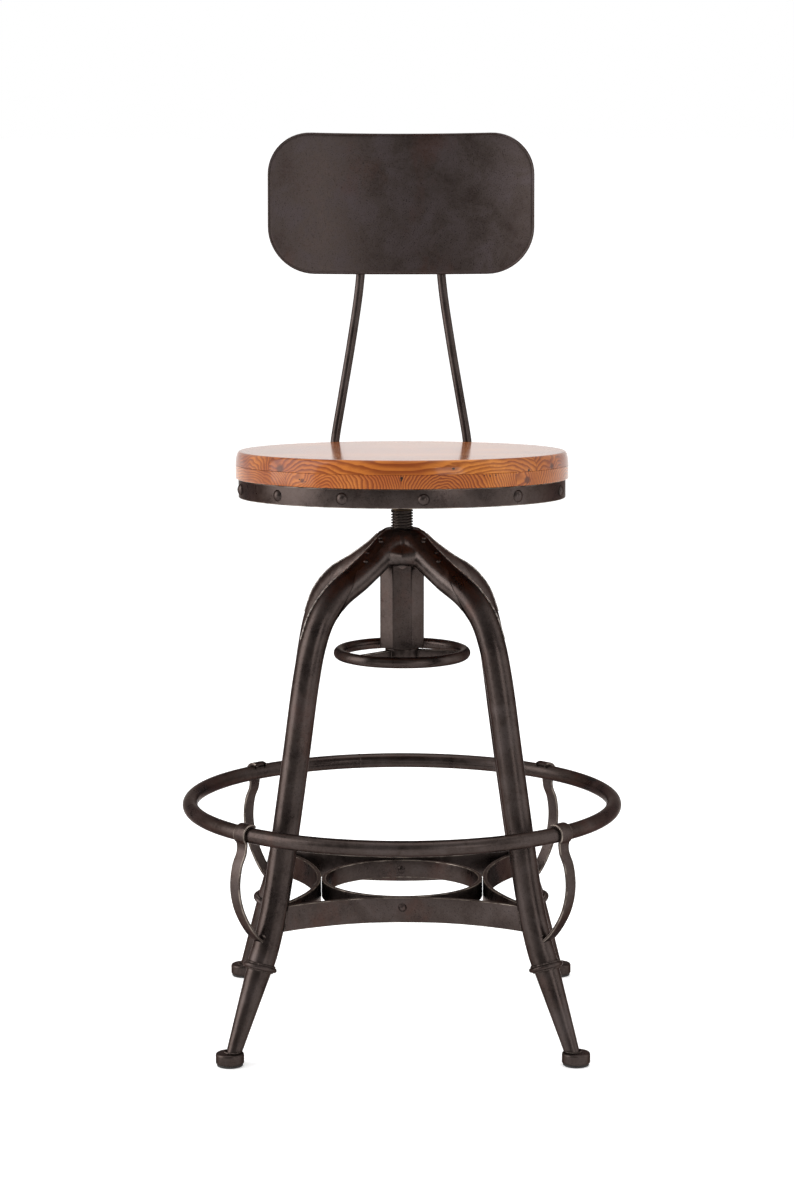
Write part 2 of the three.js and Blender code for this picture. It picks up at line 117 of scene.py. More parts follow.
SPINDLE_R = 12
SPINDLE_BOTTOM = 425
SPINDLE_SHOULDER = 566
JOURNAL_R = 8
JOURNAL_TOP = 588
THREAD_PITCH = 3
THREAD_DEPTH = 1.7
KEY_WIDTH = 4.4
KEY_DEPTH = 2.8
THRUST_WASHER = (15.3, 18.6, 420.8, 423.1)  # inner and outer radius, bottom and top
SWIVEL_WASHER = (8.3, 11.5, 566.3, 568)
SWIVEL_NUT_R = 13
DRIVE_NUT = [(12.3, 398), (15, 398), (15, 423.4), (18.8, 423.4), (18.8, 535), (12.3, 535), (12.3, 398)]

WHEEL_R = 68.5
WHEEL_ROD_R = 6
WHEEL_HEIGHT = 409.7
WHEEL_BORE_R = 15.3
WHEEL_HUB_R = 18.3
WHEEL_HUB_BOTTOM = 395.5
WHEEL_HUB_TOP = 416
WHEEL_SCREW_HEIGHT = 401
WHEEL_SCREW_TURN = 45
SPOKE_TURNS = (-15, 105, 225)

RAKE_PIVOT = 600
SEAT_RAKE = math.radians(2.5)
SEAT_R = 179.5
SEAT_TOP = 630.5
SEAT_JOINT = 615.75
SEAT_BOTTOM = 601.3
ROUND_OVER = 4.5
BAND_R = 176.5
BAND_THICKNESS = 3
BAND_TOP = 600.3
BAND_BOTTOM = 580.8
BAND_MIDDLE = (BAND_TOP + BAND_BOTTOM) / 2
BOARD_GAP = 0.03
CROSS_WIDTH = 30
CROSS_THICKNESS = 5
CROSS_MIDDLE = BAND_TOP + 0.5 - CROSS_THICKNESS / 2
CROSS_SCREW_PLACE = 118
SWIVEL_BOSS = [(8.3, 568.3), (12.5, 568.3), (19, 575), (19, 581), (44, 586.5), (44, 602), (14.5, 602),
               (14.5, 582), (8.3, 582), (8.3, 568.3)]
RIVET_TURNS = (-168, -138, -111, -83, -47, -17, 13, 43, 73, 103, 133, 163)

PLATE_WIDTH = 298
PLATE_HEIGHT = 158
PLATE_BOTTOM = 818
PLATE_BEND_R = 320
PLATE_THICKNESS = 2.4
PLATE_BACK = 187
PLATE_RECLINE = math.radians(2.5)
PLATE_TOP_CORNER = 48
PLATE_BOTTOM_CORNER = 52
PLATE_CORNER_STEPS = 14
PLATE_SIDE_STEPS = 18
SHEET_HALF = 0.7
PLATE_HEM = [(0.0, 0.0), (0.12, 0.55), (0.5, 1.0), (1.1, PLATE_THICKNESS / 2), (1.8, 1.1), (2.2, 0.6),
             (2.6, 0.4), (3.2, 0.6), (4.2, 0.65), (6, SHEET_HALF)]  # distance from the edge, half thickness
ROD_R = 5
ROD_LINE = [
    (80, 163.6, 581.8), (79.2, 164.2, 590.3), (78, 168.4, 601.3), (76, 169.6, 614),
    (74.5, 170.4, 632), (66.5, 175, 680), (56, 181.5, 742), (47.5, 190.7, 800),
    (45, 192.1, 830), (45, 194.3, 880), (45, 196.7, 935),
]

# ---------------- outlines and lines


def arc(centre, radius, start, stop, steps):
    """Points on an arc in a plane, angles in degrees."""
    angles = np.radians(np.linspace(start, stop, steps + 1))
    return [(centre[0] + radius * math.cos(a), centre[1] + radius * math.sin(a)) for a in angles]


def circle(radius, sides):
    return np.array(arc((0, 0), radius, 0, 360, sides)[:-1])


def soften(points, radius, closed=False, steps=4):
    """Rounds a polyline's corners. Gives its new points, and whether each starts a rounded stretch."""
    points = [np.array(p, float) for p in points]
    count = len(points)
    out, worn = [], []
    for i, p in enumerate(points):
        if not closed and i in (0, count - 1):
            out.append(p)
            worn.append(False)
            continue
        before, after = points[i - 1] - p, points[(i + 1) % count] - p
        reach = min(radius, 0.48 * np.linalg.norm(before), 0.48 * np.linalg.norm(after))
        a = p + before / np.linalg.norm(before) * reach
        b = p + after / np.linalg.norm(after) * reach
        for k in range(steps + 1):
            t = k / steps
            out.append((1 - t) ** 2 * a + 2 * t * (1 - t) * p + t * t * b)
            worn.append(k < steps)
    return np.array(out), worn


def bar_section(width, thickness, radius):
    """A rounded rectangle, and which of its sides are the rounded, worn corners."""
    w, t = width / 2, thickness / 2
    return soften([(-w, -t), (w, -t), (w, t), (-w, t)], radius, closed=True)


def smooth_line(points, step):
    """The centripetal Catmull-Rom curve through the points, cut into even steps."""
    p = np.array(points, float)
    ext = np.vstack([2 * p[0] - p[1], p, 2 * p[-1] - p[-2]])
    line = []
    t = np.linspace(0, 1, 16, endpoint=False)[:, None]
    for x0, x1, x2, x3 in zip(ext[:-3], ext[1:-2], ext[2:-1], ext[3:]):
        d0, d1, d2 = (math.sqrt(np.linalg.norm(v)) for v in (x1 - x0, x2 - x1, x3 - x2))
        m1 = ((x1 - x0) / d0 - (x2 - x0) / (d0 + d1) + (x2 - x1) / d1) * d1
        m2 = ((x2 - x1) / d1 - (x3 - x1) / (d1 + d2) + (x3 - x2) / d2) * d1
        square = 3 * (x2 - x1) - 2 * m1 - m2
        cube = 2 * (x1 - x2) + m1 + m2
        line.append(x1 + m1 * t + square * t ** 2 + cube * t ** 3)
    return resample(np.vstack([*line, p[-1]]), step)


def resample(line, step):
    lengths = np.linalg.norm(np.diff(line, axis=0), axis=1)
    at = np.concatenate([[0], np.cumsum(lengths)])
    places = np.linspace(0, at[-1], max(3, round(at[-1] / step) + 1))
    return np.stack([np.interp(places, at, line[:, k]) for k in range(3)], 1)


def tube_outline(inner, outer, bottom, top):
    return [(inner, bottom), (outer, bottom), (outer, top), (inner, top), (inner, bottom)]


def disc_outline(radius, bottom, top):
    return [(0, bottom), (radius, bottom), (radius, top), (0, top)]


def radial(points):
    """[distance from the axis, height] points as points of the XZ plane."""
    return [(r, 0, z) for r, z in points]


def lower_leg_r(height):
    return FOOT_CENTRE_R - height * math.tan(SPLAY)


def leg_line(step):
    top = COLLAR_HEIGHT + 1.2
    return smooth_line(radial([*LEG_LINE, (lower_leg_r(top), top)]), step)


# ---------------- shapes


def merge(*shapes):
    points, faces, marks, offset = [], [], [], 0
    for p, f, m in shapes:
        points.append(p)
        faces += [tuple(i + offset for i in face) for face in f]
        marks += list(m)
        offset += len(p)
    return np.vstack(points), faces, marks


def moved(shape, x=0.0, y=0.0, z=0.0):
    return shape[0] + np.array([x, y, z]), shape[1], shape[2]


def transformed(shape, matrix):
    turn = np.array(matrix.to_3x3())
    return shape[0] @ turn.T + np.array(matrix.translation), shape[1], shape[2]


def turned(shape, degrees):
    return transformed(shape, Matrix.Rotation(math.radians(degrees), 4, "Z"))


def marked(shape, number):
    return shape[0], shape[1], [number] * len(shape[1])


def rippled(shape, amount, wavelength):
    """Moves the points by a few gentle waves, so that nothing is perfectly straight."""
    points = shape[0]
    shift = np.zeros_like(points)
    for _ in range(5):
        wave = rng.normal(size=3)
        wave *= 2 * math.pi / wavelength / np.linalg.norm(wave) * rng.uniform(0.6, 1.5)
        shift += np.sin(points @ wave + rng.uniform(0, 6.28))[:, None] * rng.normal(size=3)
    return points + shift * amount / 5, shape[1], shape[2]


def lathe(profile, segments, worn=None):
    """A surface turned about Z from [radius, height] points. Points on the axis become poles."""
    profile = np.array(profile, float)
    closed = np.allclose(profile[0], profile[-1]) and profile[0][0] > 1e-6
    if closed:
        profile = profile[:-1]
    angles = np.linspace(0, 2 * math.pi, segments, endpoint=False)
    points, rings = [], []
    for r, z in profile:
        if r < 1e-6:
            rings.append([len(points)] * segments)
            points.append((0, 0, z))
        else:
            rings.append(list(range(len(points), len(points) + segments)))
            points += [(r * math.cos(a), r * math.sin(a), z) for a in angles]
    faces, marks = [], []
    spans = len(profile) if closed else len(profile) - 1
    for k in range(spans):
        low, high = rings[k], rings[(k + 1) % len(rings)]
        for i in range(segments):
            j = (i + 1) % segments
            face = dict.fromkeys((low[i], low[j], high[j], high[i]))
            if len(face) > 2:
                faces.append(tuple(face))
                marks.append(RUBBED if worn and worn[k % len(worn)] else PLAIN)
    return np.array(points, float), faces, marks


def soft_lathe(corners, radius, segments, steps=4):
    """A turned shape with rounded corners; the corners list closes on itself or ends on the axis."""
    closed = np.allclose(corners[0], corners[-1])
    outline, worn = soften(corners[:-1] if closed else corners, radius, closed, steps)
    if closed:
        outline = np.vstack([outline, outline[0]])
    return lathe(outline, segments, worn)


def frames(line, side, closed):
    tangent = np.roll(line, -1, 0) - np.roll(line, 1, 0) if closed else np.gradient(line, axis=0)
    tangent /= np.linalg.norm(tangent, axis=1)[:, None]
    if side is None:
        guess = np.eye(3)[np.argmin(abs(tangent[0]))]
        sides = []
        for t in tangent:
            guess = guess - (guess @ t) * t
            guess = guess / np.linalg.norm(guess)
            sides.append(guess)
        sides = np.array(sides)
    else:
        sides = np.array(side, float) - (tangent @ np.array(side, float))[:, None] * tangent
        sides /= np.linalg.norm(sides, axis=1)[:, None]
    return sides, np.cross(tangent, sides)


def skin_over(rows, closed=False, worn=None):
    """A skin over rows of points, each closed on itself. The two ends are closed unless the rows are."""
    n, m = rows.shape[:2]
    spans = n if closed else n - 1
    faces = [(i * m + j, i * m + (j + 1) % m, (i + 1) % n * m + (j + 1) % m, (i + 1) % n * m + j)
             for i in range(spans) for j in range(m)]
    marks = [RUBBED if edge else PLAIN for edge in worn or [False] * m] * spans
    if not closed:
        faces += [tuple(range(m))[::-1], tuple(range((n - 1) * m, n * m))]
        marks += [PLAIN, PLAIN]
    return rows.reshape(-1, 3), faces, marks


def sweep(line, section, side=None, closed=False, worn=None, scale=None):
    """The skin of a section carried along a line."""
    line = np.array(line, float)
    sides, ups = frames(line, side, closed)
    scale = (np.ones(len(line)) if scale is None else np.array(scale))[:, None, None]
    across = scale * section[None, :, 0, None] * sides[:, None]
    upward = scale * section[None, :, 1, None] * ups[:, None]
    return skin_over(line[:, None] + across + upward, closed, worn)


def open_ended(shape):
    """A swept shape without its two end faces."""
    return shape[0], shape[1][:-2], shape[2][:-2]


def rod(line, radius, sides, end):
    """A round rod along a line, with rounded ends that reach past it."""
    first, last = line[1] - line[0], line[-1] - line[-2]
    first, last = first / np.linalg.norm(first), last / np.linalg.norm(last)
    angles = np.radians([8, 30, 60, 80])
    heads = [line[0] - first * end * math.cos(a) for a in angles]
    tails = [line[-1] + last * end * math.cos(a) for a in angles[::-1]]
    scale = np.concatenate([np.sin(angles), np.ones(len(line)), np.sin(angles[::-1])])
    return sweep(np.vstack([heads, line, tails]), circle(radius, sides), scale=np.maximum(scale, 0.15))


def bead(line, radius, closed=False, lumps=0.22, sides=10, mark=WELDED):
    """A weld bead: a thin, uneven rod."""
    line = resample(np.array(line, float), radius * 0.55)
    if closed:
        line = line[:-1]
    count = len(line)
    wave = np.sin(np.arange(count) * 2.1 + rng.uniform(0, 6)) * 0.5 + rng.normal(size=count) * 0.5
    scale = 1 + lumps * wave
    if not closed:
        taper = np.minimum(np.arange(count), np.arange(count)[::-1]) / 2.5
        scale *= np.sqrt(np.clip(taper + 0.12, 0, 1))
    return marked(sweep(line, circle(radius, sides), closed=closed, scale=scale), mark)


def tack(place, radius):
    """A weld tack: an uneven drop of metal, a little flattened."""
    profile = arc((0, 0), 1, -90, 90, 8)
    profile[0], profile[-1] = (0, -1), (0, 1)
    points, faces, marks = lathe(profile, 16)
    points = points * radius * np.array((1, 1, 0.8)) * (1 + 0.06 * rng.normal(size=(len(points), 1)))
    return marked((points + np.array(place), faces, marks), WELDED)


def ring_line(centre, normal, radius):
    """A closed circle round a line, its first point repeated at the end."""
    normal = Vector(normal).normalized()
    u = normal.orthogonal().normalized()
    v = normal.cross(u)
    turns = np.linspace(0, 2 * math.pi, 49)
    return np.array([Vector(centre) + radius * (math.cos(t) * u + math.sin(t) * v) for t in turns])


def hoop(radius, rod_r, height, count, sides, seam_at, seam_inset, seam_r):
    """A round rod bent into a ring, with the ground weld where its ends meet."""
    turns = np.linspace(0, 2 * math.pi, count, endpoint=False)
    line = np.stack([radius * np.cos(turns), radius * np.sin(turns), np.full(count, height)], 1)
    ring = sweep(line, circle(rod_r, sides), side=(0, 0, 1), closed=True)
    seam = math.radians(seam_at)
    place = (radius * math.cos(seam), radius * math.sin(seam), height)
    along = (-math.sin(seam), math.cos(seam), 0)
    return merge(ring, bead(ring_line(place, along, rod_r - seam_inset), seam_r, closed=True, lumps=0.1))


def dome(radius, height, depth, segments=36):
    """A rivet head along +X, its flat at X 0, with a stem behind it."""
    sphere = (radius * radius + height * height) / (2 * height)
    edge = math.degrees(math.asin(min(1, radius * 0.985 / sphere)))
    cap = [(sphere * math.sin(math.radians(a)), height - sphere * (1 - math.cos(math.radians(a))))
           for a in np.linspace(edge, 0, 12)]
    cap[-1] = (0, height)
    stem = [(0, -depth), (radius * 0.5, -depth), (radius * 0.5, 0)]
    profile = [*stem, (radius * 0.97, 0), (radius, 0.25), *cap]
    return transformed(lathe(profile, segments), Matrix.Rotation(math.pi / 2, 4, "Y"))


def octagon(flats):
    return np.array(arc((0, 0), flats / 2 / math.cos(math.pi / 8), 22.5, 382.5, 8)[:-1])


# ---------------- materials


def srgb(red, green, blue):
    """A colour given as 0 to 255 screen values."""
    values = [c / 255 for c in (red, green, blue)]
    return (*[c / 12.92 if c < 0.04045 else ((c + 0.055) / 1.055) ** 2.4 for c in values], 1)


class Nodes:
    """A node tree that grows one node at a time."""

    def __init__(self, tree):
        self.tree = tree

    def put(self, socket, value):
        if isinstance(value, bpy.types.NodeSocket):
            self.tree.links.new(value, socket)
        else:
            socket.default_value = value

    def add(self, kind, inputs=None, out=0, **settings):
        node = self.tree.nodes.new(kind)
        for key, value in settings.items():
            setattr(node, key, value)
        for key, value in (inputs or {}).items():
            self.put(node.inputs[key], value)
        return node.outputs[out]

    def math(self, operation, a, b=0.0):
        return self.add("ShaderNodeMath", {0: a, 1: b}, operation=operation)

    def plus(self, a, b):
        return self.math("ADD", a, b)

    def minus(self, a, b):
        return self.math("SUBTRACT", a, b)

    def times(self, a, b):
        return self.math("MULTIPLY", a, b)

    def between(self, value, low, high, to_low=0.0, to_high=1.0):
        inputs = {0: value, 1: low, 2: high, 3: to_low, 4: to_high}
        return self.add("ShaderNodeMapRange", inputs, interpolation_type="SMOOTHSTEP")


class Look(Nodes):
    """A material, its nodes placed by the object's own coordinates."""

    def __init__(self, name):
        self.material = bpy.data.materials.new(name)
        self.material.use_nodes = True
        super().__init__(self.material.node_tree)
        self.shader = self.tree.nodes["Principled BSDF"]
        self.place = self.add("ShaderNodeTexCoord", out="Object")

    def noise(self, scale, detail, roughness=0.55, vector=None, distortion=0.0):
        inputs = {"Vector": vector or self.place, "Scale": scale, "Detail": detail,
                  "Roughness": roughness, "Distortion": distortion}
        return self.add("ShaderNodeTexNoise", inputs)

    def stretched(self, x, y, z, vector=None):
        inputs = {0: vector or self.place, 1: (x, y, z)}
        return self.add("ShaderNodeVectorMath", inputs, operation="MULTIPLY")

    def ramp(self, value, *stops):
        """Colours at places from 0 to 1."""
        node = self.tree.nodes.new("ShaderNodeValToRGB")
        self.put(node.inputs[0], value)
        ends = node.color_ramp.elements
        ends[0].position, ends[0].color = stops[0]
        ends[1].position, ends[1].color = stops[-1]
        for at, colour in stops[1:-1]:
            ends.new(at).color = colour
        return node.outputs[0]

    def mix(self, factor, a, b, how="MIX"):
        return self.add("ShaderNodeMix", {0: factor, 6: a, 7: b}, out=2, data_type="RGBA", blend_type=how)

    def bump(self, height, distance, strength=1.0, after=None):
        inputs = {"Height": height, "Distance": distance, "Strength": strength}
        if after is not None:
            inputs["Normal"] = after
        return self.add("ShaderNodeBump", inputs)

    def finish(self, colour, roughness, normal=None, **numbers):
        self.put(self.shader.inputs["Base Color"], colour)
        self.put(self.shader.inputs["Roughness"], roughness)
        if normal is not None:
            self.put(self.shader.inputs["Normal"], normal)
        for key, value in numbers.items():
            self.shader.inputs[key.replace("_", " ").title().replace("Ior", "IOR")].default_value = value
        return self.material


EDGE_TINT = srgb(156, 144, 138)  # how the finish looks edge-on
WORN_TINT = srgb(170, 162, 156)


def steel(name, dark, middle, light, rough, grain=0.5, seed=0.0):
    """Steel with a hand-rubbed bronze finish: clouded colour, faint scratches, a slightly uneven skin."""
    look = Look(name)
    dark, middle, light = (srgb(*colour) for colour in (dark, middle, light))
    shift = (seed, seed * 0.7, seed * 0.3)
    place = look.add("ShaderNodeVectorMath", {0: look.place, 1: shift}, operation="ADD")
    cloud = look.noise(26, 5, 0.6, place, 0.6)
    fine = look.noise(240, 3, 0.6, place)
    speck = look.noise(900, 2, 0.5, place)
    shade = look.ramp(cloud, (0.3, dark), (0.5, middle), (0.72, light))
    rust = look.between(look.noise(17, 4, 0.65, look.stretched(1, 1, 0.6, place)), 0.55, 0.74)
    shade = look.mix(look.times(rust, 0.4), shade, srgb(72, 48, 41))
    shade = look.mix(look.between(fine, 0.35, 0.7, 0.0, 0.3), shade, light)
    pits = look.between(speck, 0.3, 0.45, 0.55, 0.0)
    shade = look.mix(pits, shade, srgb(22, 18, 17))
    roughness = look.between(look.plus(cloud, look.times(fine, 0.35)), 0.45, 0.9, *rough)
    skin = look.bump(cloud, 0.0006, 0.25 * grain)
    skin = look.bump(fine, 0.00016, 0.5 * grain, skin)
    skin = look.bump(speck, 0.00005, 0.7 * grain, skin)
    return look.finish(shade, roughness, skin, metallic=0.92, specular_tint=EDGE_TINT)


def bared_metal_and_highlight(name, scale, high, dark, light, grain, rough, **numbers):
    """Steel that rubbing or grinding has laid bare in patches, brighter than the finish around it; on the
    hub's seam the same kind of bright colour is a painted highlight.
    """
    look = Look(name)
    patch = look.between(look.noise(scale, 4, 0.6), 0.35, high)
    shade = look.mix(patch, srgb(*dark), srgb(*light))
    skin = look.bump(look.noise(grain[0], 3), *grain[1:])
    return look.finish(shade, look.between(patch, 0, 1, *rough), skin, **numbers)


def weld_metal():
    look = Look("weld_steel")
    cloud = look.noise(160, 4, 0.6)
    shade = look.ramp(cloud, (0.3, srgb(38, 32, 30)), (0.7, srgb(82, 73, 69)))
    skin = look.bump(look.noise(420, 4, 0.7), 0.0004, 0.5)
    return look.finish(shade, 0.42, skin, metallic=0.92, specular_tint=EDGE_TINT)


def rubber():
    look = Look("glide_rubber")
    fine = look.noise(700, 3)
    shade = look.mix(fine, srgb(26, 24, 23), srgb(44, 41, 39))
    return look.finish(shade, look.between(fine, 0.3, 0.7, 0.7, 0.85), look.bump(fine, 0.0001, 0.5))


def bronze(name, dark, light):
    look = Look(name)
    cloud = look.noise(120, 4)
    shade = look.ramp(cloud, (0.3, srgb(*dark)), (0.7, srgb(*light)))
    roughness = look.between(cloud, 0.3, 0.7, 0.28, 0.42)
    return look.finish(shade, roughness, look.bump(cloud, 0.0001), metallic=1.0)


def knot_masks(look, knots, along_x):
    """How far each point is inside the knots: a wide mask that bends the grain, and a dark core."""
    bend, core = 0.0, 0.0
    stretch = (0.55, 1, 1) if along_x else (1, 0.55, 1)
    for x, y, z, size in knots:
        centre = tuple(MM * c * s for c, s in zip((x, y, z), stretch))
        away = look.add("ShaderNodeVectorMath", {0: look.stretched(*stretch), 1: centre},
                        out=1, operation="DISTANCE")
        bend = look.plus(bend, look.between(away, 0, size * 4.5 * MM, size * 1.5, 0))
        core = look.math("MAXIMUM", core, look.between(away, size * 0.45 * MM, size * 1.15 * MM, 1, 0))
    return bend, core


def wood(name, along_x, strip_width, strip_edge, pith_height, ring_width, knots, holes):
    """Lacquered pine glued up from strips, with year rings that show as long grain and as end grain, and
    painted shade towards the left and right ends.
    """
    look = Look(name)
    raked = {"Vector": look.place, "Center": (0, 0, RAKE_PIVOT * MM), "Angle": SEAT_RAKE}
    look.place = look.add("ShaderNodeVectorRotate", raked, rotation_type="X_AXIS")
    parts = look.tree.nodes.new("ShaderNodeSeparateXYZ")
    look.put(parts.inputs[0], look.place)
    x, y, z = (look.times(out, 1000) for out in parts.outputs)
    across, scale = (y, (0.14, 1, 1)) if along_x else (x, (1, 0.25, 1))

    # each strip has its own pith, a little to one side of its middle and below it
    strip = look.math("FLOOR", look.math("DIVIDE", look.minus(across, strip_edge), strip_width))
    chance = look.add("ShaderNodeTexWhiteNoise", {"W": look.plus(strip, 3.3)}, out=1, noise_dimensions="1D")
    luck = look.tree.nodes.new("ShaderNodeSeparateColor")
    look.put(luck.inputs[0], chance)
    middle = look.plus(look.times(look.plus(strip, 0.5), strip_width), strip_edge)
    sway = strip_width * 0.16
    side = look.plus(look.minus(across, middle), look.between(luck.outputs[0], 0, 1, -sway, sway))
    grain_place = look.stretched(*scale)
    wander = look.noise(14, 3, 0.5, grain_place)
    wobble = look.noise(60, 3, 0.5, grain_place)
    side = look.plus(side, look.between(wander, 0.2, 0.8, -8, 8))
    pith = look.between(luck.outputs[1], 0, 1, pith_height - 12, pith_height + 6)
    depth = look.plus(look.minus(z, pith), look.between(wobble, 0.2, 0.8, -2.2, 2.2))

    # the year rings, bent round the knots
    bend, core = knot_masks(look, knots, along_x)
    radius = look.math("SQRT", look.plus(look.times(side, side), look.times(depth, depth)))
    radius = look.plus(radius, look.times(bend, 1.3))
    ring = look.math("FRACT", look.math("DIVIDE", radius, ring_width))
    late = look.times(look.between(ring, 0.15, 0.82), look.between(ring, 0.9, 1.0, 1, 0))

    # colour: early and late wood, fibres, darker patches, knots, glue lines, small holes, and painted shade
    # towards the ends
    fibre = look.noise(900, 3, 0.6, look.stretched(*((0.02, 1, 1) if along_x else (1, 0.02, 1))))
    cloud = look.noise(16, 3, 0.5, grain_place)
    early = look.mix(luck.outputs[2], srgb(174, 106, 44), srgb(150, 80, 30))
    early = look.mix(look.between(cloud, 0.42, 0.72), early, srgb(190, 122, 56))
    share = look.times(late, look.between(cloud, 0.3, 0.75, 0.95, 0.55))
    shade = look.mix(share, early, srgb(96, 36, 10))
    shade = look.mix(look.between(fibre, 0.35, 0.75, 0, 0.3), shade, srgb(120, 58, 28))
    patch = look.between(look.noise(11, 3, 0.6, look.stretched(1, 1, 0.6)), 0.5, 0.68, 0, 0.55)
    shade = look.mix(patch, shade, srgb(116, 50, 18))
    shade = look.mix(look.between(bend, 0, 14, 0, 0.7), shade, srgb(120, 50, 22))
    shade = look.mix(look.times(core, 0.85), shade, srgb(70, 30, 18))
    from_glue = look.math("DIVIDE", look.minus(across, strip_edge - strip_width / 2), strip_width)
    seam = look.math("ABSOLUTE", look.minus(look.math("FRACT", from_glue), 0.5))
    shade = look.mix(look.between(seam, 0, 0.6 / strip_width, 0.55, 0), shade, srgb(90, 42, 20))
    _, pit = knot_masks(look, holes, along_x)
    shade = look.mix(pit, shade, srgb(22, 10, 6))
    # painted shade: towards the left and right ends (|x| from 90 to 178 mm) the wood is multiplied by a
    # darker tone, on the top and the sides alike
    ends = look.between(look.math("ABSOLUTE", x), 90, 178, 0, 0.75)
    shade = look.mix(ends, shade, look.mix(1.0, shade, srgb(205, 185, 165), "MULTIPLY"))

    skin = look.bump(late, 0.00012, 0.35)
    skin = look.bump(fibre, 0.00008, 0.35, skin)
    skin = look.bump(look.minus(1, look.math("MAXIMUM", core, pit)), 0.0008, 0.6, skin)
    rough = look.between(fibre, 0.3, 0.7, 0.42, 0.54)
    return look.finish(shade, rough, skin, specular_ior_level=0.1, coat_weight=0.84, coat_roughness=0.12,
                       coat_ior=1.26, coat_tint=srgb(255, 247, 232))


STEEL = steel("bronzed_steel", (44, 37, 35), (58, 50, 47), (71, 63, 61), rough=(0.26, 0.4))
HUB_STEEL = steel("bronzed_casting", (51, 44, 42), (69, 61, 58), (88, 80, 77), rough=(0.28, 0.4), seed=1.0)
PLATE_STEEL = steel("bronzed_sheet", (56, 47, 44), (63, 55, 52), (71, 63, 64),
                    rough=(0.36, 0.5), grain=0.3, seed=2.0)
SCREW_STEEL = steel("dark_screw_steel", (34, 29, 27), (48, 42, 39), (62, 55, 52),
                    rough=(0.26, 0.38), grain=0.3, seed=5.0)
WORN = bared_metal_and_highlight("worn_edge_steel", 70, 0.62, (62, 54, 50), (122, 112, 104), (500, 0.0001, 0.4),
                   (0.46, 0.34), metallic=0.95, specular_tint=WORN_TINT)
WELD = weld_metal()
# painted highlight: a pale, barely metallic seam colour that stays bright however little light the bead
# reflects
SEAM_HIGHLIGHT = bared_metal_and_highlight("seam_painted_highlight", 220, 0.65, (84, 75, 70), (168, 158, 150), (600, 0.0002, 0.5),
                   (0.5, 0.36), metallic=0.35)
RUBBER = rubber()
BRONZE = bronze("bearing_bronze", (120, 86, 44), (186, 146, 86))
DARK_BRONZE = bronze("oiled_bronze", (38, 30, 23), (60, 47, 34))
# knots and small holes as x, y, z, size
UPPER_WOOD = wood(
    "pine_upper_board", along_x=True, strip_width=100, strip_edge=-112, pith_height=590, ring_width=4.2,
    knots=[(-128, -126, 619, 5.5), (56, -172, 622, 1.6), (158, -86, 619, 4.5), (40, 20, 630, 7),
           (-95, 60, 628, 8), (110, 110, 626, 6), (-30, 150, 624, 5), (-150, -60, 620, 4)],
    holes=[(52, -171.5, 622, 1.2), (131, -122, 617, 1.6)],
)
LOWER_WOOD = wood(
    "pine_lower_board", along_x=False, strip_width=120, strip_edge=-122, pith_height=588, ring_width=3.0,
    knots=[(-104, -146, 608, 2.6), (130, -124, 607, 4.5), (-60, 30, 604, 7), (70, 95, 604, 8),
           (-150, 95, 608, 5), (20, 178, 609, 4)],
    holes=[(-1.5, -179.5, 612.6, 2.0), (-1.8, -179.5, 610.2, 1.1), (-107, -144, 609, 0.9),
           (-101, -148, 607, 0.8), (84, -158.5, 614, 0.8), (90, -155, 613.4, 1.0), (96, -151.5, 614, 0.9)],
)

# ---------------- pieces

RAKE = (
    Matrix.Translation((0, 0, RAKE_PIVOT * MM))
    @ Matrix.Rotation(-SEAT_RAKE, 4, "X")
    @ Matrix.Translation((0, 0, -RAKE_PIVOT * MM))
)


def cleaned(mesh, join=0.0):
    """Turns the faces outwards, after making one of any points closer than join."""
    bm = bmesh.new()
    bm.from_mesh(mesh)
    if join:
        bmesh.ops.remove_doubles(bm, verts=bm.verts, dist=join)
    bmesh.ops.recalc_face_normals(bm, faces=bm.faces)
    bm.to_mesh(mesh)
    bm.free()


def shaded(mesh, crease):
    mesh.polygons.foreach_set("use_smooth", [True] * len(mesh.polygons))
    mesh.set_sharp_from_angle(angle=math.radians(crease))
    return mesh


def mesh_from(name, shape, materials, crease=CREASE):
    mesh = bpy.data.meshes.new(name)
    mesh.from_pydata((shape[0] * MM).tolist(), [], shape[1])
    for material in materials:
        mesh.materials.append(material)
    mesh.polygons.foreach_set("material_index", np.clip(shape[2], 0, len(materials) - 1).tolist())
    cleaned(mesh)
    return shaded(mesh, crease)


def add_object(name, data):
    obj = bpy.data.objects.new(name, data)
    bpy.context.scene.collection.objects.link(obj)
    return obj


def piece(node, shape, materials, body, raked=False, crease=CREASE, name=None):
    """Adds a shape, or a finished mesh, in place of a node; without a node it comes on top."""
    name = name or f"{node}_look"
    mesh = shape if isinstance(shape, bpy.types.Mesh) else mesh_from(name, shape, materials, crease)
    if raked:
        mesh.transform(RAKE)
    obj = add_object(name, mesh)
    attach(obj, body)
    if node:
        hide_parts(node)


def steel_piece(node, shape, body, raked=False, extra=(), name=None):
    piece(node, shape, [STEEL, WORN, WELD, *extra], body, raked, name=name)


# ---------------- legs and feet


def on_lower_leg(shape, tilt, height):
    placed = transformed(shape, Matrix.Rotation(-tilt, 4, "Y"))
    return moved(placed, lower_leg_r(height), 0, height)


def upper_leg():
    line = leg_line(4)
    return rippled(sweep(line[line[:, 0] > UPPER_LEG_START], circle(LEG_R, 48)), 0.12, 90)


def leg_collar():
    half = COLLAR_THICKNESS / 2
    bulge = [(10, -half), *arc((COLLAR_R - half, 0), half, -90, 90, 12), (10, half), (10, -half)]
    above = bead(ring_line((0, 0, half + 0.2), (0, 0, 1), LEG_R + 0.5), 1.5, closed=True)
    below = bead(ring_line((0, 0, -half - 0.2), (0, 0, 1), LOWER_LEG_TOP_R + 0.4), 1.3, closed=True)
    return on_lower_leg(merge(lathe(bulge, 56), above, below), COLLAR_TILT, COLLAR_HEIGHT)


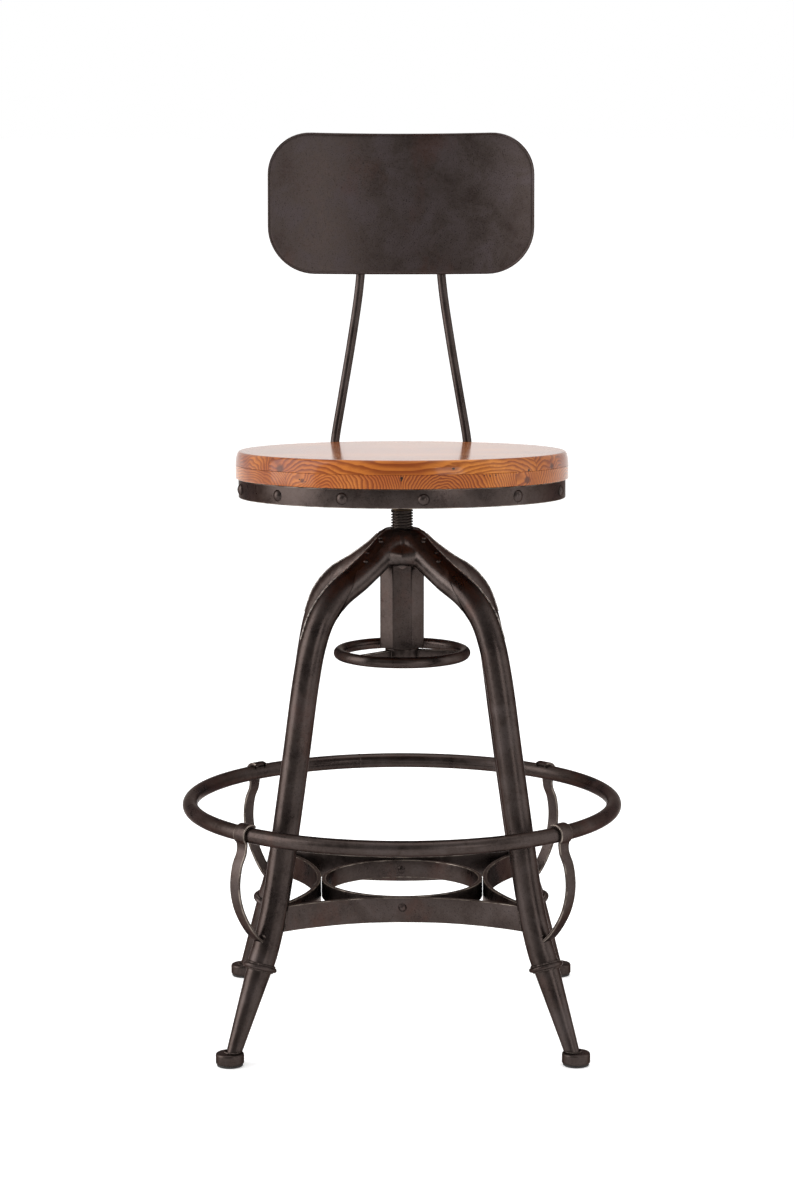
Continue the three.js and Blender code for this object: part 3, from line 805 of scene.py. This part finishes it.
def lower_leg():
    length = COLLAR_HEIGHT / math.cos(SPLAY)
    bottom = -length + (FOOT_HEIGHT - 3) / math.cos(SPLAY)
    end_r = LOWER_LEG_BOTTOM_R + (LOWER_LEG_TOP_R - LOWER_LEG_BOTTOM_R) * (1 + bottom / length)
    heights = np.linspace(bottom, -1.5, 14)
    radii = np.linspace(end_r, LOWER_LEG_TOP_R, 14)
    profile = [(0, heights[0]), *zip(radii, heights), (0, heights[-1])]
    return rippled(on_lower_leg(lathe(profile, 48), SPLAY, COLLAR_HEIGHT), 0.1, 50)


def foot():
    corners = [(0, GLIDE_HEIGHT), (FOOT_R - 0.6, GLIDE_HEIGHT), (FOOT_R, GLIDE_HEIGHT + 1),
               (FOOT_R, FOOT_HEIGHT), (0, FOOT_HEIGHT)]
    body = marked(soft_lathe(corners, 2.6, 48, 5), PLAIN)
    glide = marked(soft_lathe(disc_outline(FOOT_R - 1.2, 0, GLIDE_HEIGHT), 0.8, 48), EXTRA)
    weld = bead(ring_line((-4, 0, FOOT_HEIGHT), (0, 0, 1), 8.6), 1.1, closed=True)
    return moved(merge(body, glide, weld), FOOT_CENTRE_R)


def footrest_strap():
    hook = RING_TUBE_R + STRAP_THICKNESS / 2 + 0.1
    around = arc((RING_R, RING_HEIGHT), hook, -50, 118, 9)
    route = smooth_line(radial([*STRAP_LINE, *around]), 2)
    section, worn = bar_section(STRAP_WIDTH, STRAP_THICKNESS, 0.9)
    flare = 1 + 0.2 * np.clip((route[:, 2] - RING_HEIGHT + 14) / 14, 0, 1)
    parts = [sweep(route, section, side=(0, 1, 0), worn=worn, scale=flare)]
    for y in (-STRAP_WIDTH / 2, STRAP_WIDTH / 2):
        parts.append(bead([(RING_R - 8, y, RING_HEIGHT + 8), (RING_R + 1, y, RING_HEIGHT + 9)], 0.9))
        parts.append(bead([(207, y, 128), (216, y, 134)], 1.2))
    return rippled(merge(*parts), 0.15, 60)


def add_legs():
    for corner, turn in CORNERS.items():
        for stem, shape in (("leg_upper", upper_leg()), ("leg_collar", leg_collar()),
                            ("leg_lower", lower_leg()), ("foot", foot()),
                            ("footrest_strap", footrest_strap())):
            steel_piece(f"{stem}_{corner}", turned(shape, turn), "frame", extra=[RUBBER])


# ---------------- brace and footrest ring


def footrest_ring():
    return hoop(RING_R, RING_TUBE_R, RING_HEIGHT, 200, 28, seam_at=102, seam_inset=0.35, seam_r=0.7)


def stretcher():
    inner = BRACE_RING_R + 0.3
    bow = STRETCHER_SPAN - inner
    bend_r = (STRETCHER_SPAN ** 2 + bow ** 2) / (2 * bow)
    half = math.degrees(math.asin((STRETCHER_SPAN - 3) / bend_r))
    middle = BRACE_TOP - STRETCHER_HEIGHT / 2
    plan = arc((inner + bend_r, 0), bend_r - BRACE_THICKNESS / 2, 180 - half, 180 + half, 72)
    section, worn = bar_section(BRACE_THICKNESS, STRETCHER_HEIGHT, 0.8)
    line = [(x, y, middle) for x, y in plan]
    bar = rippled(sweep(line, section[:, ::-1], side=(0, 0, 1), worn=worn), 0.25, 80)
    return merge(bar, *stretcher_welds(middle))


def stretcher_welds(middle):
    """Upright beads on both faces of the bar where it meets the legs, leaning inwards as the legs do."""
    welds = []
    reach = math.hypot(STRETCHER_SPAN, STRETCHER_SPAN)
    rise = 11
    lean = math.tan(math.radians(11)) * rise
    for side in (-1, 1):
        for face in (-1, 1):
            turn = math.radians(45 * side)
            away = math.radians(180 + 45 * side - side * 44 + face * 13)
            x = reach * math.cos(turn) + (LEG_R + 0.4) * math.cos(away)
            y = reach * math.sin(turn) + (LEG_R + 0.4) * math.sin(away)
            shift = np.array([lean * math.cos(turn), lean * math.sin(turn), -rise])
            welds.append(bead([np.array([x, y, middle]) + shift, np.array([x, y, middle]) - shift], 1.3))
    return welds


def brace_ring():
    inner, bottom = BRACE_RING_R - BRACE_THICKNESS, BRACE_TOP - BRACE_RING_HEIGHT
    return rippled(soft_lathe(tube_outline(inner, BRACE_RING_R, bottom, BRACE_TOP), 0.8, 128), 0.25, 80)


def brace_rivet():
    outside = moved(dome(4.5, 2.7, 4), BRACE_RING_R + 0.3 + BRACE_THICKNESS, 0, BRACE_MIDDLE)
    tail = transformed(dome(4.2, 1.8, 3), Matrix.Rotation(math.pi, 4, "Z"))
    return merge(outside, moved(tail, BRACE_RING_R - BRACE_THICKNESS, 0, BRACE_MIDDLE))


def add_brace():
    steel_piece("footrest_ring", footrest_ring(), "frame")
    steel_piece("brace_ring", brace_ring(), "frame")
    for side, turn in SIDES.items():
        lift = REAR_STRETCHER_LIFT if side == "rear" else 0
        bar = moved(turned(stretcher(), turn), 0, 0, lift)
        steel_piece(f"stretcher_{side}", bar, "frame")
        steel_piece(f"brace_rivet_{side}", turned(brace_rivet(), turn), "frame")


# ---------------- column and hub


def column():
    outer, _ = soften(octagon(COLUMN_FLATS), 2.0, closed=True)
    tube_line = [(0, 0, z) for z in (COLUMN_BOTTOM + 1.2, COLUMN_BOTTOM + 8, 460, COLUMN_TOP)]
    bore_line = [(0, 0, COLUMN_BOTTOM + 4), (0, 0, COLUMN_TOP)]
    lip = moved(lathe(COLUMN_LIP, 64), 0, 0, COLUMN_BOTTOM)
    return merge(open_ended(sweep(tube_line, outer, side=(1, 0, 0))),
                 open_ended(sweep(bore_line, octagon(COLUMN_BORE_FLATS), side=(1, 0, 0))), lip)


def hub_arm_line(step):
    line = smooth_line(radial(LEG_LINE[:6]), step)
    _, ups = frames(line, (0, 1, 0), False)
    taper = np.clip((HUB_ARM_END - line[:, 0]) / 38, 0.2, 1)
    return line - ups * HUB_ARM_DROP * taper[:, None]


def hub_arm():
    """The thick upper end of a leg, fatter than the tube welded on to it."""
    line = hub_arm_line(3)
    line = line[(line[:, 0] > HUB_ARM_START) & (line[:, 0] < HUB_ARM_END)]
    line = np.vstack([[(4, 0, 530)], line])
    taper = np.clip((line[:, 0] - 70) / (HUB_ARM_END - 70), 0, 1)
    return sweep(line, circle(HUB_ARM_R, 40), scale=1 - 0.04 * taper)


def hub_web():
    """Metal that fills the corner between two neighbouring arms, with a valley down its middle."""
    parts = []
    line = hub_arm_line(3)
    for x, _, z in line[(line[:, 0] > HUB_ARM_START) & (line[:, 0] < HUB_WEB_END)]:
        ends = [np.array([x * math.cos(a), x * math.sin(a), z]) for a in np.radians([-135, -45])]
        share = np.linspace(0, 1, 17)[:, None]
        chord = ends[0] * (1 - share) + ends[1] * share
        chord[:, 2] -= HUB_WEB_VALLEY * (1 - abs(share[:, 0] * 2 - 1))
        parts.append(sweep(chord, circle(1, 20), scale=HUB_WEB_R + HUB_WEB_FLARE * abs(share[:, 0] - 0.5)))
    return merge(*parts)


def hub_body():
    arms = [turned(hub_arm(), turn) for turn in CORNERS.values()]
    webs = [turned(hub_web(), turn) for turn in (0, 90, 180, 270)]
    return merge(lathe(HUB_CROWN, 64), *arms, *webs)


def baked(obj, name):
    """The object's mesh with its modifiers applied; the object itself is removed."""
    bpy.context.view_layer.update()
    depsgraph = bpy.context.evaluated_depsgraph_get()
    mesh = bpy.data.meshes.new_from_object(obj.evaluated_get(depsgraph))
    mesh.name = name
    bpy.data.objects.remove(obj)
    return mesh


def flattened(mesh):
    """Brings down whatever stands above the crown."""
    for vertex in mesh.vertices:
        away = max(0.0, math.hypot(vertex.co.x, vertex.co.y) - HUB_FLAT_R * MM)
        vertex.co.z = min(vertex.co.z, HUB_TOP * MM - 9 * away * away)
    return mesh


def hub_mesh():
    """Arms and crown flowed into one casting, then bored for the column and the spindle."""
    obj = add_object("hub_raw", mesh_from("hub_raw", hub_body(), [HUB_STEEL]))
    remesh = obj.modifiers.new("flow", "REMESH")
    remesh.mode, remesh.voxel_size = "VOXEL", 1.25 * MM
    obj = add_object("hub_flat", flattened(baked(obj, "hub_raw")))
    smooth = obj.modifiers.new("soften", "SMOOTH")
    smooth.factor, smooth.iterations = 0.5, 4
    cutter = add_object("hub_bore", mesh_from("hub_bore", lathe(HUB_BORE, 48), [HUB_STEEL]))
    cut = obj.modifiers.new("bore", "BOOLEAN")
    cut.operation, cut.object, cut.solver = "DIFFERENCE", cutter, "EXACT"
    mesh = baked(obj, "hub")
    bpy.data.objects.remove(cutter)
    return shaded(mesh, 50)


def hub_details():
    """The seam along the top of each arm, coloured as a painted highlight, and the weld tacks beside it."""
    parts = []
    line = hub_arm_line(2)
    sides, ups = frames(line, (0, 1, 0), False)
    for corner, lean in (("front_right", -1), ("rear_right", 1), ("rear_left", -1), ("front_left", 1)):
        turn = CORNERS[corner]
        tilt = math.radians(-HUB_SEAM_LEAN * lean)
        seam = line + (HUB_ARM_R + 0.1) * (math.cos(tilt) * ups + math.sin(tilt) * sides)
        # the seam bead takes the seam material, a painted highlight
        seam = bead(seam[line[:, 0] > 22], 0.8, lumps=0.2, sides=8, mark=EXTRA)
        parts.append(turned(seam, turn))
        for away, degrees, size in HUB_TACKS:
            at = int(np.argmin(abs(line[:, 0] - away)))
            tilt = math.radians(degrees * lean)
            skin = line[at] + HUB_ARM_R * (math.cos(tilt) * ups[at] + math.sin(tilt) * sides[at])
            parts.append(turned(tack(skin, size), turn))
    parts.append(bead([(-7.5, -23.6, 512), (-2, -23.8, 511)], 1.5))
    return merge(*parts)


def washer(inner, outer, bottom, top):
    return soft_lathe(tube_outline(inner, outer, bottom, top), 0.4, 64)


def add_column():
    steel_piece("column", column(), "frame")
    piece("hub_cap", hub_mesh(), [HUB_STEEL], "frame", name="hub_look")
    # the extra material is the seam's painted highlight
    steel_piece(None, hub_details(), "frame", extra=[SEAM_HIGHLIGHT], name="hub_details")
    key_low, key_high = (np.array(corner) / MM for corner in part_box("spindle_key"))
    section, _ = bar_section(key_high[0] - key_low[0], key_high[1] - key_low[1], 0.4)
    middle = (key_low[1] + key_high[1]) / 2
    key = sweep([(0, middle, z) for z in (key_low[2], key_high[2])], section, side=(1, 0, 0))
    piece("spindle_key", key, [SCREW_STEEL], "frame")
    piece("thrust_washer", washer(*THRUST_WASHER), [BRONZE], "frame")


# ---------------- screw lift


def thread_radius(angle, height):
    """The spindle's radius at an angle and a height: a rounded thread with a keyway at the back."""
    phase = (height / THREAD_PITCH - angle / (2 * math.pi)) % 1
    tooth = np.clip(abs(phase * 2 - 1) * 2.4 - 0.6, 0, 1)
    fade = np.clip((SPINDLE_SHOULDER - height) / 2, 0, 1)
    fade = fade * np.clip((height - SPINDLE_BOTTOM - 1) / 2.5, 0, 1)
    radius = SPINDLE_R - THREAD_DEPTH * tooth * fade
    across = radius * np.cos(angle)
    in_key = (abs(across) < (KEY_WIDTH / 2 + 0.3)) & (np.sin(angle) > 0) & (height < SPINDLE_SHOULDER - 4)
    floor_r = (SPINDLE_R - KEY_DEPTH) / np.maximum(np.sin(angle), 0.3)
    return np.where(in_key, np.minimum(radius, floor_r), radius)


def spindle():
    half_key = math.asin((KEY_WIDTH / 2 + 0.3) / SPINDLE_R)
    edges = [math.pi / 2 - half_key, math.pi / 2 + half_key]
    angles = np.linspace(0, 2 * math.pi, 72, endpoint=False)
    extra = [edge + d for edge in edges for d in (-0.004, 0.004)]
    angles = np.sort(np.concatenate([angles, extra]))
    heights = np.arange(SPINDLE_BOTTOM + 1, SPINDLE_SHOULDER - 0.5, THREAD_PITCH / 12)
    grid_a, grid_h = np.meshgrid(angles, heights)
    radius = thread_radius(grid_a, grid_h)
    screw = skin_over(np.stack([radius * np.cos(grid_a), radius * np.sin(grid_a), grid_h], 2))
    head = soft_lathe([(0, SPINDLE_SHOULDER - 1), (SPINDLE_R, SPINDLE_SHOULDER - 1),
                       (SPINDLE_R, SPINDLE_SHOULDER), (JOURNAL_R, SPINDLE_SHOULDER),
                       (JOURNAL_R, JOURNAL_TOP), (0, JOURNAL_TOP)], 0.6, 64)
    tip_r = SPINDLE_R - KEY_DEPTH - 0.4
    tip = soft_lathe(disc_outline(tip_r, SPINDLE_BOTTOM, SPINDLE_BOTTOM + 2), 0.6, 48)
    return merge(screw, head, tip)


def wheel_hub():
    """The hub with its clamping screw, a slotted head on one side."""
    outline = tube_outline(WHEEL_BORE_R, WHEEL_HUB_R, WHEEL_HUB_BOTTOM, WHEEL_HUB_TOP)
    hub = marked(soft_lathe(outline, 1.6, 72), PLAIN)
    screw = moved(dome(2.8, 0.7, 2), WHEEL_HUB_R - 0.2, 0, WHEEL_SCREW_HEIGHT)
    slot_line = [(WHEEL_HUB_R + 0.35, y, WHEEL_SCREW_HEIGHT) for y in (-2.2, 2.2)]
    slot = marked(sweep(slot_line, bar_section(0.7, 0.8, 0.1)[0], side=(1, 0, 0)), WELDED)
    return merge(hub, turned(screw, WHEEL_SCREW_TURN), turned(slot, WHEEL_SCREW_TURN))


def wheel_spoke():
    section, worn = bar_section(10, 4, 1.0)
    line = [(x, 0, WHEEL_HEIGHT) for x in np.linspace(17.5, WHEEL_R - 3.5, 14)]
    parts = [sweep(line, section[:, ::-1], side=(0, 1, 0), worn=worn)]
    for y in (-2.2, 2.2):
        for x, low, high, radius in ((18.6, 5, 4.6, 1.0), (64.2, 4, 4, 1.1)):
            parts.append(bead([(x, y, WHEEL_HEIGHT - low), (x, y, WHEEL_HEIGHT + high)], radius))
    return merge(*parts)


def wheel_rim():
    rim = hoop(WHEEL_R, WHEEL_ROD_R, WHEEL_HEIGHT, 128, 24, seam_at=70, seam_inset=0.3, seam_r=0.6)
    return rippled(rim, 0.2, 60)


def swivel_nut():
    outline, _ = soften(circle(SWIVEL_NUT_R, 6), 0.8, closed=True, steps=2)
    line = [(0, 0, z) for z in (582.5, 583, 587, 587.5)]
    return sweep(line, outline, side=(1, 0, 0), scale=[0.96, 1, 1, 0.96])


def add_lift():
    screw_steel = [SCREW_STEEL]
    piece("spindle", spindle(), screw_steel, "screw", crease=45)
    piece("swivel_washer", washer(*SWIVEL_WASHER), [DARK_BRONZE], "screw")
    piece("swivel_nut", swivel_nut(), screw_steel, "screw")
    nut = soft_lathe(DRIVE_NUT, 0.5, 64)
    piece("drive_nut", nut, screw_steel, "handwheel")
    spider = merge(wheel_hub(), *(turned(wheel_spoke(), turn) for turn in SPOKE_TURNS))
    steel_piece("handwheel_spider", spider, "handwheel")
    steel_piece("handwheel_rim", wheel_rim(), "handwheel")


# ---------------- seat


def upper_board():
    bottom = SEAT_JOINT + BOARD_GAP
    edge = [(SEAT_R - ROUND_OVER * (1 - math.cos(a)), bottom + (SEAT_TOP - bottom) * math.sin(a))
            for a in np.radians(np.linspace(3, 90, 12))]
    rim = SEAT_R - ROUND_OVER
    inner = [(r, SEAT_TOP) for r in np.linspace(rim - 3, 12, 14)]
    under = [(r, bottom) for r in np.linspace(30, SEAT_R - 0.4, 6)]
    return lathe([(0, bottom), *under, (SEAT_R, bottom + 0.2), *edge, *inner, (0, SEAT_TOP)], 200)


def lower_board():
    top = SEAT_JOINT - BOARD_GAP
    outline, _ = soften([(SEAT_R - 30, SEAT_BOTTOM), (SEAT_R, SEAT_BOTTOM), (SEAT_R, top - 0.3)], 0.7)
    outline = np.vstack([outline, (SEAT_R - 0.3, top)])
    under = [(r, SEAT_BOTTOM) for r in np.linspace(12, SEAT_R - 40, 10)]
    over = [(r, top) for r in np.linspace(SEAT_R - 40, 12, 4)]
    return lathe([(0, SEAT_BOTTOM), *under, *outline, *over, (0, top)], 200)


def seat_band():
    """The band, very slightly out of round."""
    outline = tube_outline(BAND_R - BAND_THICKNESS, BAND_R, BAND_BOTTOM, SEAT_BOTTOM - 0.2)
    points, faces, marks = soft_lathe(outline, 0.9, 240)
    angle = np.arctan2(points[:, 1], points[:, 0])
    sag = 0.12 * np.sin(angle * 7 + 1) + 0.1 * np.sin(angle * 17) * np.sin(points[:, 2] * 0.25)
    points[:, :2] *= (1 - abs(sag) / BAND_R)[:, None]
    return points, faces, marks


def band_rivet():
    head = moved(dome(6.3 + rng.uniform(-0.2, 0.2), 3.5, 3.2), BAND_R - 0.1, rng.uniform(-0.6, 0.6),
                 BAND_MIDDLE + rng.uniform(-0.3, 0.3))
    tail = transformed(dome(4.4, 1.6, 2), Matrix.Rotation(math.pi, 4, "Z"))
    return merge(head, moved(tail, BAND_R - BAND_THICKNESS, 0, BAND_MIDDLE))


def seat_cross():
    half = BAND_R - BAND_THICKNESS - 1
    section, worn = bar_section(CROSS_WIDTH, CROSS_THICKNESS, 0.8)
    line = [(x, 0, CROSS_MIDDLE) for x in np.linspace(-half, half, 30)]
    bar = sweep(line, section, side=(0, 1, 0), worn=worn)
    welds, screws = [], []
    for turn in (0, 90, 180, 270):
        weld = bead([(half - 0.6, y, CROSS_MIDDLE - 2.6) for y in (-13, 13)], 1.5)
        welds.append(turned(weld, turn))
        head = transformed(dome(5, 2.2, 1.5, 24), Matrix.Rotation(math.pi / 2, 4, "Y"))
        screws.append(turned(moved(head, CROSS_SCREW_PLACE, 0, CROSS_MIDDLE - CROSS_THICKNESS / 2), turn))
    return merge(bar, turned(bar, 90), *welds, *screws)


def swivel_boss():
    """The boss and its flange, cut off along the underside of the raked cross."""
    points, faces, marks = soft_lathe(SWIVEL_BOSS, 1.4, 72)
    under = RAKE_PIVOT - CROSS_THICKNESS / math.cos(SEAT_RAKE) - points[:, 1] * math.tan(SEAT_RAKE)
    points[:, 2] = np.minimum(points[:, 2], under)
    return points, faces, marks


def add_seat():
    steel_piece("swivel_boss", swivel_boss(), "seat")
    steel_piece("seat_cross", seat_cross(), "seat", raked=True)
    steel_piece("seat_band", seat_band(), "seat", raked=True)
    for name, board, look in (("lower", lower_board(), LOWER_WOOD), ("upper", upper_board(), UPPER_WOOD)):
        piece(f"seat_{name}_board", board, [look], "seat", True)
    for number, turn in enumerate(RIVET_TURNS, 1):
        rivet = turned(band_rivet(), turn)
        steel_piece(f"band_rivet_{number}", rivet, "seat", True)


# ---------------- backrest


def plate_loop(inset):
    """The plate's outline moved inwards by inset, as x and height above the plate's bottom."""
    half = PLATE_WIDTH / 2 - inset
    low, high = PLATE_BOTTOM_CORNER - inset, PLATE_TOP_CORNER - inset
    bottom, top = inset, PLATE_HEIGHT - inset
    corners = [
        arc((half - low, bottom + low), low, -90, 0, PLATE_CORNER_STEPS),
        arc((half - high, top - high), high, 0, 90, PLATE_CORNER_STEPS),
        arc((-half + high, top - high), high, 90, 180, PLATE_CORNER_STEPS),
        arc((-half + low, bottom + low), low, 180, 270, PLATE_CORNER_STEPS),
    ]
    loop = []
    for i, corner in enumerate(corners):
        loop += corner
        a, b = np.array(corner[-1]), np.array(corners[(i + 1) % 4][0])
        loop += [tuple(a + (b - a) * k / PLATE_SIDE_STEPS) for k in range(1, PLATE_SIDE_STEPS)]
    return np.array(loop)


def plate_on_bend(flat, out):
    """From x, height and distance in front of the sheet's middle to the bent, reclined plate."""
    x, h = flat[:, 0], flat[:, 1]
    r = PLATE_BEND_R + PLATE_THICKNESS / 2 - out
    y = PLATE_BACK - PLATE_BEND_R + np.sqrt(r * r - x * x)
    c, s = math.cos(PLATE_RECLINE), math.sin(PLATE_RECLINE)
    y2 = y * c + h * s + PLATE_BACK * (1 - c)
    z2 = -y * s + h * c + PLATE_BOTTOM + PLATE_BACK * s
    return np.stack([x, y2, z2], 1)


def backrest_plate():
    """Bent sheet with its edge turned into a narrow hem. Its two faces share the outermost loop."""
    centre = np.array([0, PLATE_HEIGHT / 2])
    base = plate_loop(PLATE_HEM[-1][0])
    loops = [(plate_loop(d), h) for d, h in PLATE_HEM]
    loops += [(centre + (base - centre) * s, SHEET_HALF) for s in np.linspace(0.96, 0.04, 18)]
    count = len(base)
    points, faces = [], []
    for sign in (1, -1):
        start = sum(len(p) for p in points)
        points += [plate_on_bend(flat, sign * out) for flat, out in loops]
        points.append(plate_on_bend(centre[None], sign * SHEET_HALF))
        for k in range(len(loops) - 1):
            low, high = start + k * count, start + (k + 1) * count
            for j in range(count):
                i = (j + 1) % count
                faces.append((low + j, low + i, high + i, high + j))
        last, tip = start + (len(loops) - 1) * count, start + len(loops) * count
        faces += [(last + j, last + (j + 1) % count, tip) for j in range(count)]
    points = np.vstack(points)
    wave = np.sin(points[:, 0] * 0.021 + 1) * np.sin(points[:, 2] * 0.034) * 0.25
    points[:, 1] += wave * np.clip(1 - abs(points[:, 0]) / 140, 0, 1)
    mesh = mesh_from("plate", marked((points, faces, []), PLAIN), [PLATE_STEEL, WORN])
    cleaned(mesh, join=0.00001)
    return mesh


def backrest_rod(side):
    """A rod with weld beads along the plate and at the band."""
    line = smooth_line([(side * x, y, z) for x, y, z in ROD_LINE], 4)
    parts = [rod(line, ROD_R, 28, end=1.5)]
    run = line[(line[:, 2] > 826) & (line[:, 2] < 932)]
    low = line[(line[:, 2] > 582) & (line[:, 2] < 599)]
    for lean in (-1, 1):
        parts.append(bead(run + np.array([lean * 3.6, -3.3, 0]), 1.1))
        shift = [lean * 4.3 * math.cos(1.1), -lean * side * 4.3 * math.sin(0.45) - 2.2, 0]
        parts.append(bead(low + np.array(shift), 1.2))
    return merge(*parts)


def add_backrest():
    piece("backrest_plate", backrest_plate(), None, "seat", True)
    for name, side in (("right", 1), ("left", -1)):
        steel_piece(f"backrest_rod_{name}", backrest_rod(side), "seat", True)


# ---------------- studio


def add_world():
    """White all round, dimmer behind the camera so that the front faces of the metal read darker."""
    world = bpy.data.worlds.new("studio")
    bpy.context.scene.world = world
    world.use_nodes = True
    nodes = Nodes(world.node_tree)
    towards = nodes.add("ShaderNodeTexCoord", out="Generated")
    ahead = nodes.add("ShaderNodeSeparateXYZ", {0: towards}, out=1)
    back = nodes.tree.nodes["Background"]
    nodes.put(back.inputs["Strength"], nodes.between(ahead, -0.95, -0.2, 0.3, 1.0))
    nodes.put(back.inputs["Color"], (1, 1, 1, 1))


# name, place, target, width and height, watts
LIGHTS = (
    ("key", (-3.0, -0.5, 1.5), (0, 0, 0.5), (2.4, 3.0), 95),
    ("fill", (3.0, -0.5, 1.3), (0, 0, 0.5), (2.0, 3.0), 19),
    ("front", (1.6, -2.6, 1.1), (0, 0, 0.6), (1.0, 1.0), 14),
    ("top", (0.2, 0.2, 3.0), (0, 0, 0.3), (2.0, 2.0), 25),
)


def add_lights():
    for name, place, target, size, power in LIGHTS:
        data = bpy.data.lights.new(name, "AREA")
        data.shape, data.size, data.size_y, data.energy = "RECTANGLE", *size, power
        light = add_object(name, data)
        light.location = place
        light.rotation_euler = (Vector(target) - Vector(place)).to_track_quat("-Z", "Y").to_euler()


def add_floor():
    """A pale floor a hair below the feet, large enough to reach past every view."""
    mesh = bpy.data.meshes.new("floor")
    reach = 90.0
    corners = [(-reach, -reach, 0), (reach, -reach, 0), (reach, reach, 0), (-reach, reach, 0)]
    mesh.from_pydata(corners, [], [(0, 1, 2, 3)])
    floor = add_object("floor", mesh)
    look = Look("white_floor")
    white = (1, 1, 1, 1)
    mesh.materials.append(look.finish(srgb(250, 250, 250), 0.9, emission_color=white, emission_strength=0.3))
    floor.location.z = -0.0004


def add_camera():
    distance, height = 3.543, 1.0
    turn, pitch = 0.0061, 0.1492
    data = bpy.data.cameras.new("camera")
    data.sensor_width, data.lens, data.shift_x = 36, 99.0, -5 / 1200
    camera = add_object("camera", data)
    camera.location = (-distance * math.sin(turn), -distance * math.cos(turn), height)
    camera.rotation_euler = (math.pi / 2 - pitch, 0, -turn)
    bpy.context.scene.camera = camera


add_legs()
add_brace()
add_column()
add_lift()
add_seat()
add_backrest()
add_world()
add_lights()
add_floor()
add_camera()
bpy.context.scene.view_settings.view_transform = "Standard"
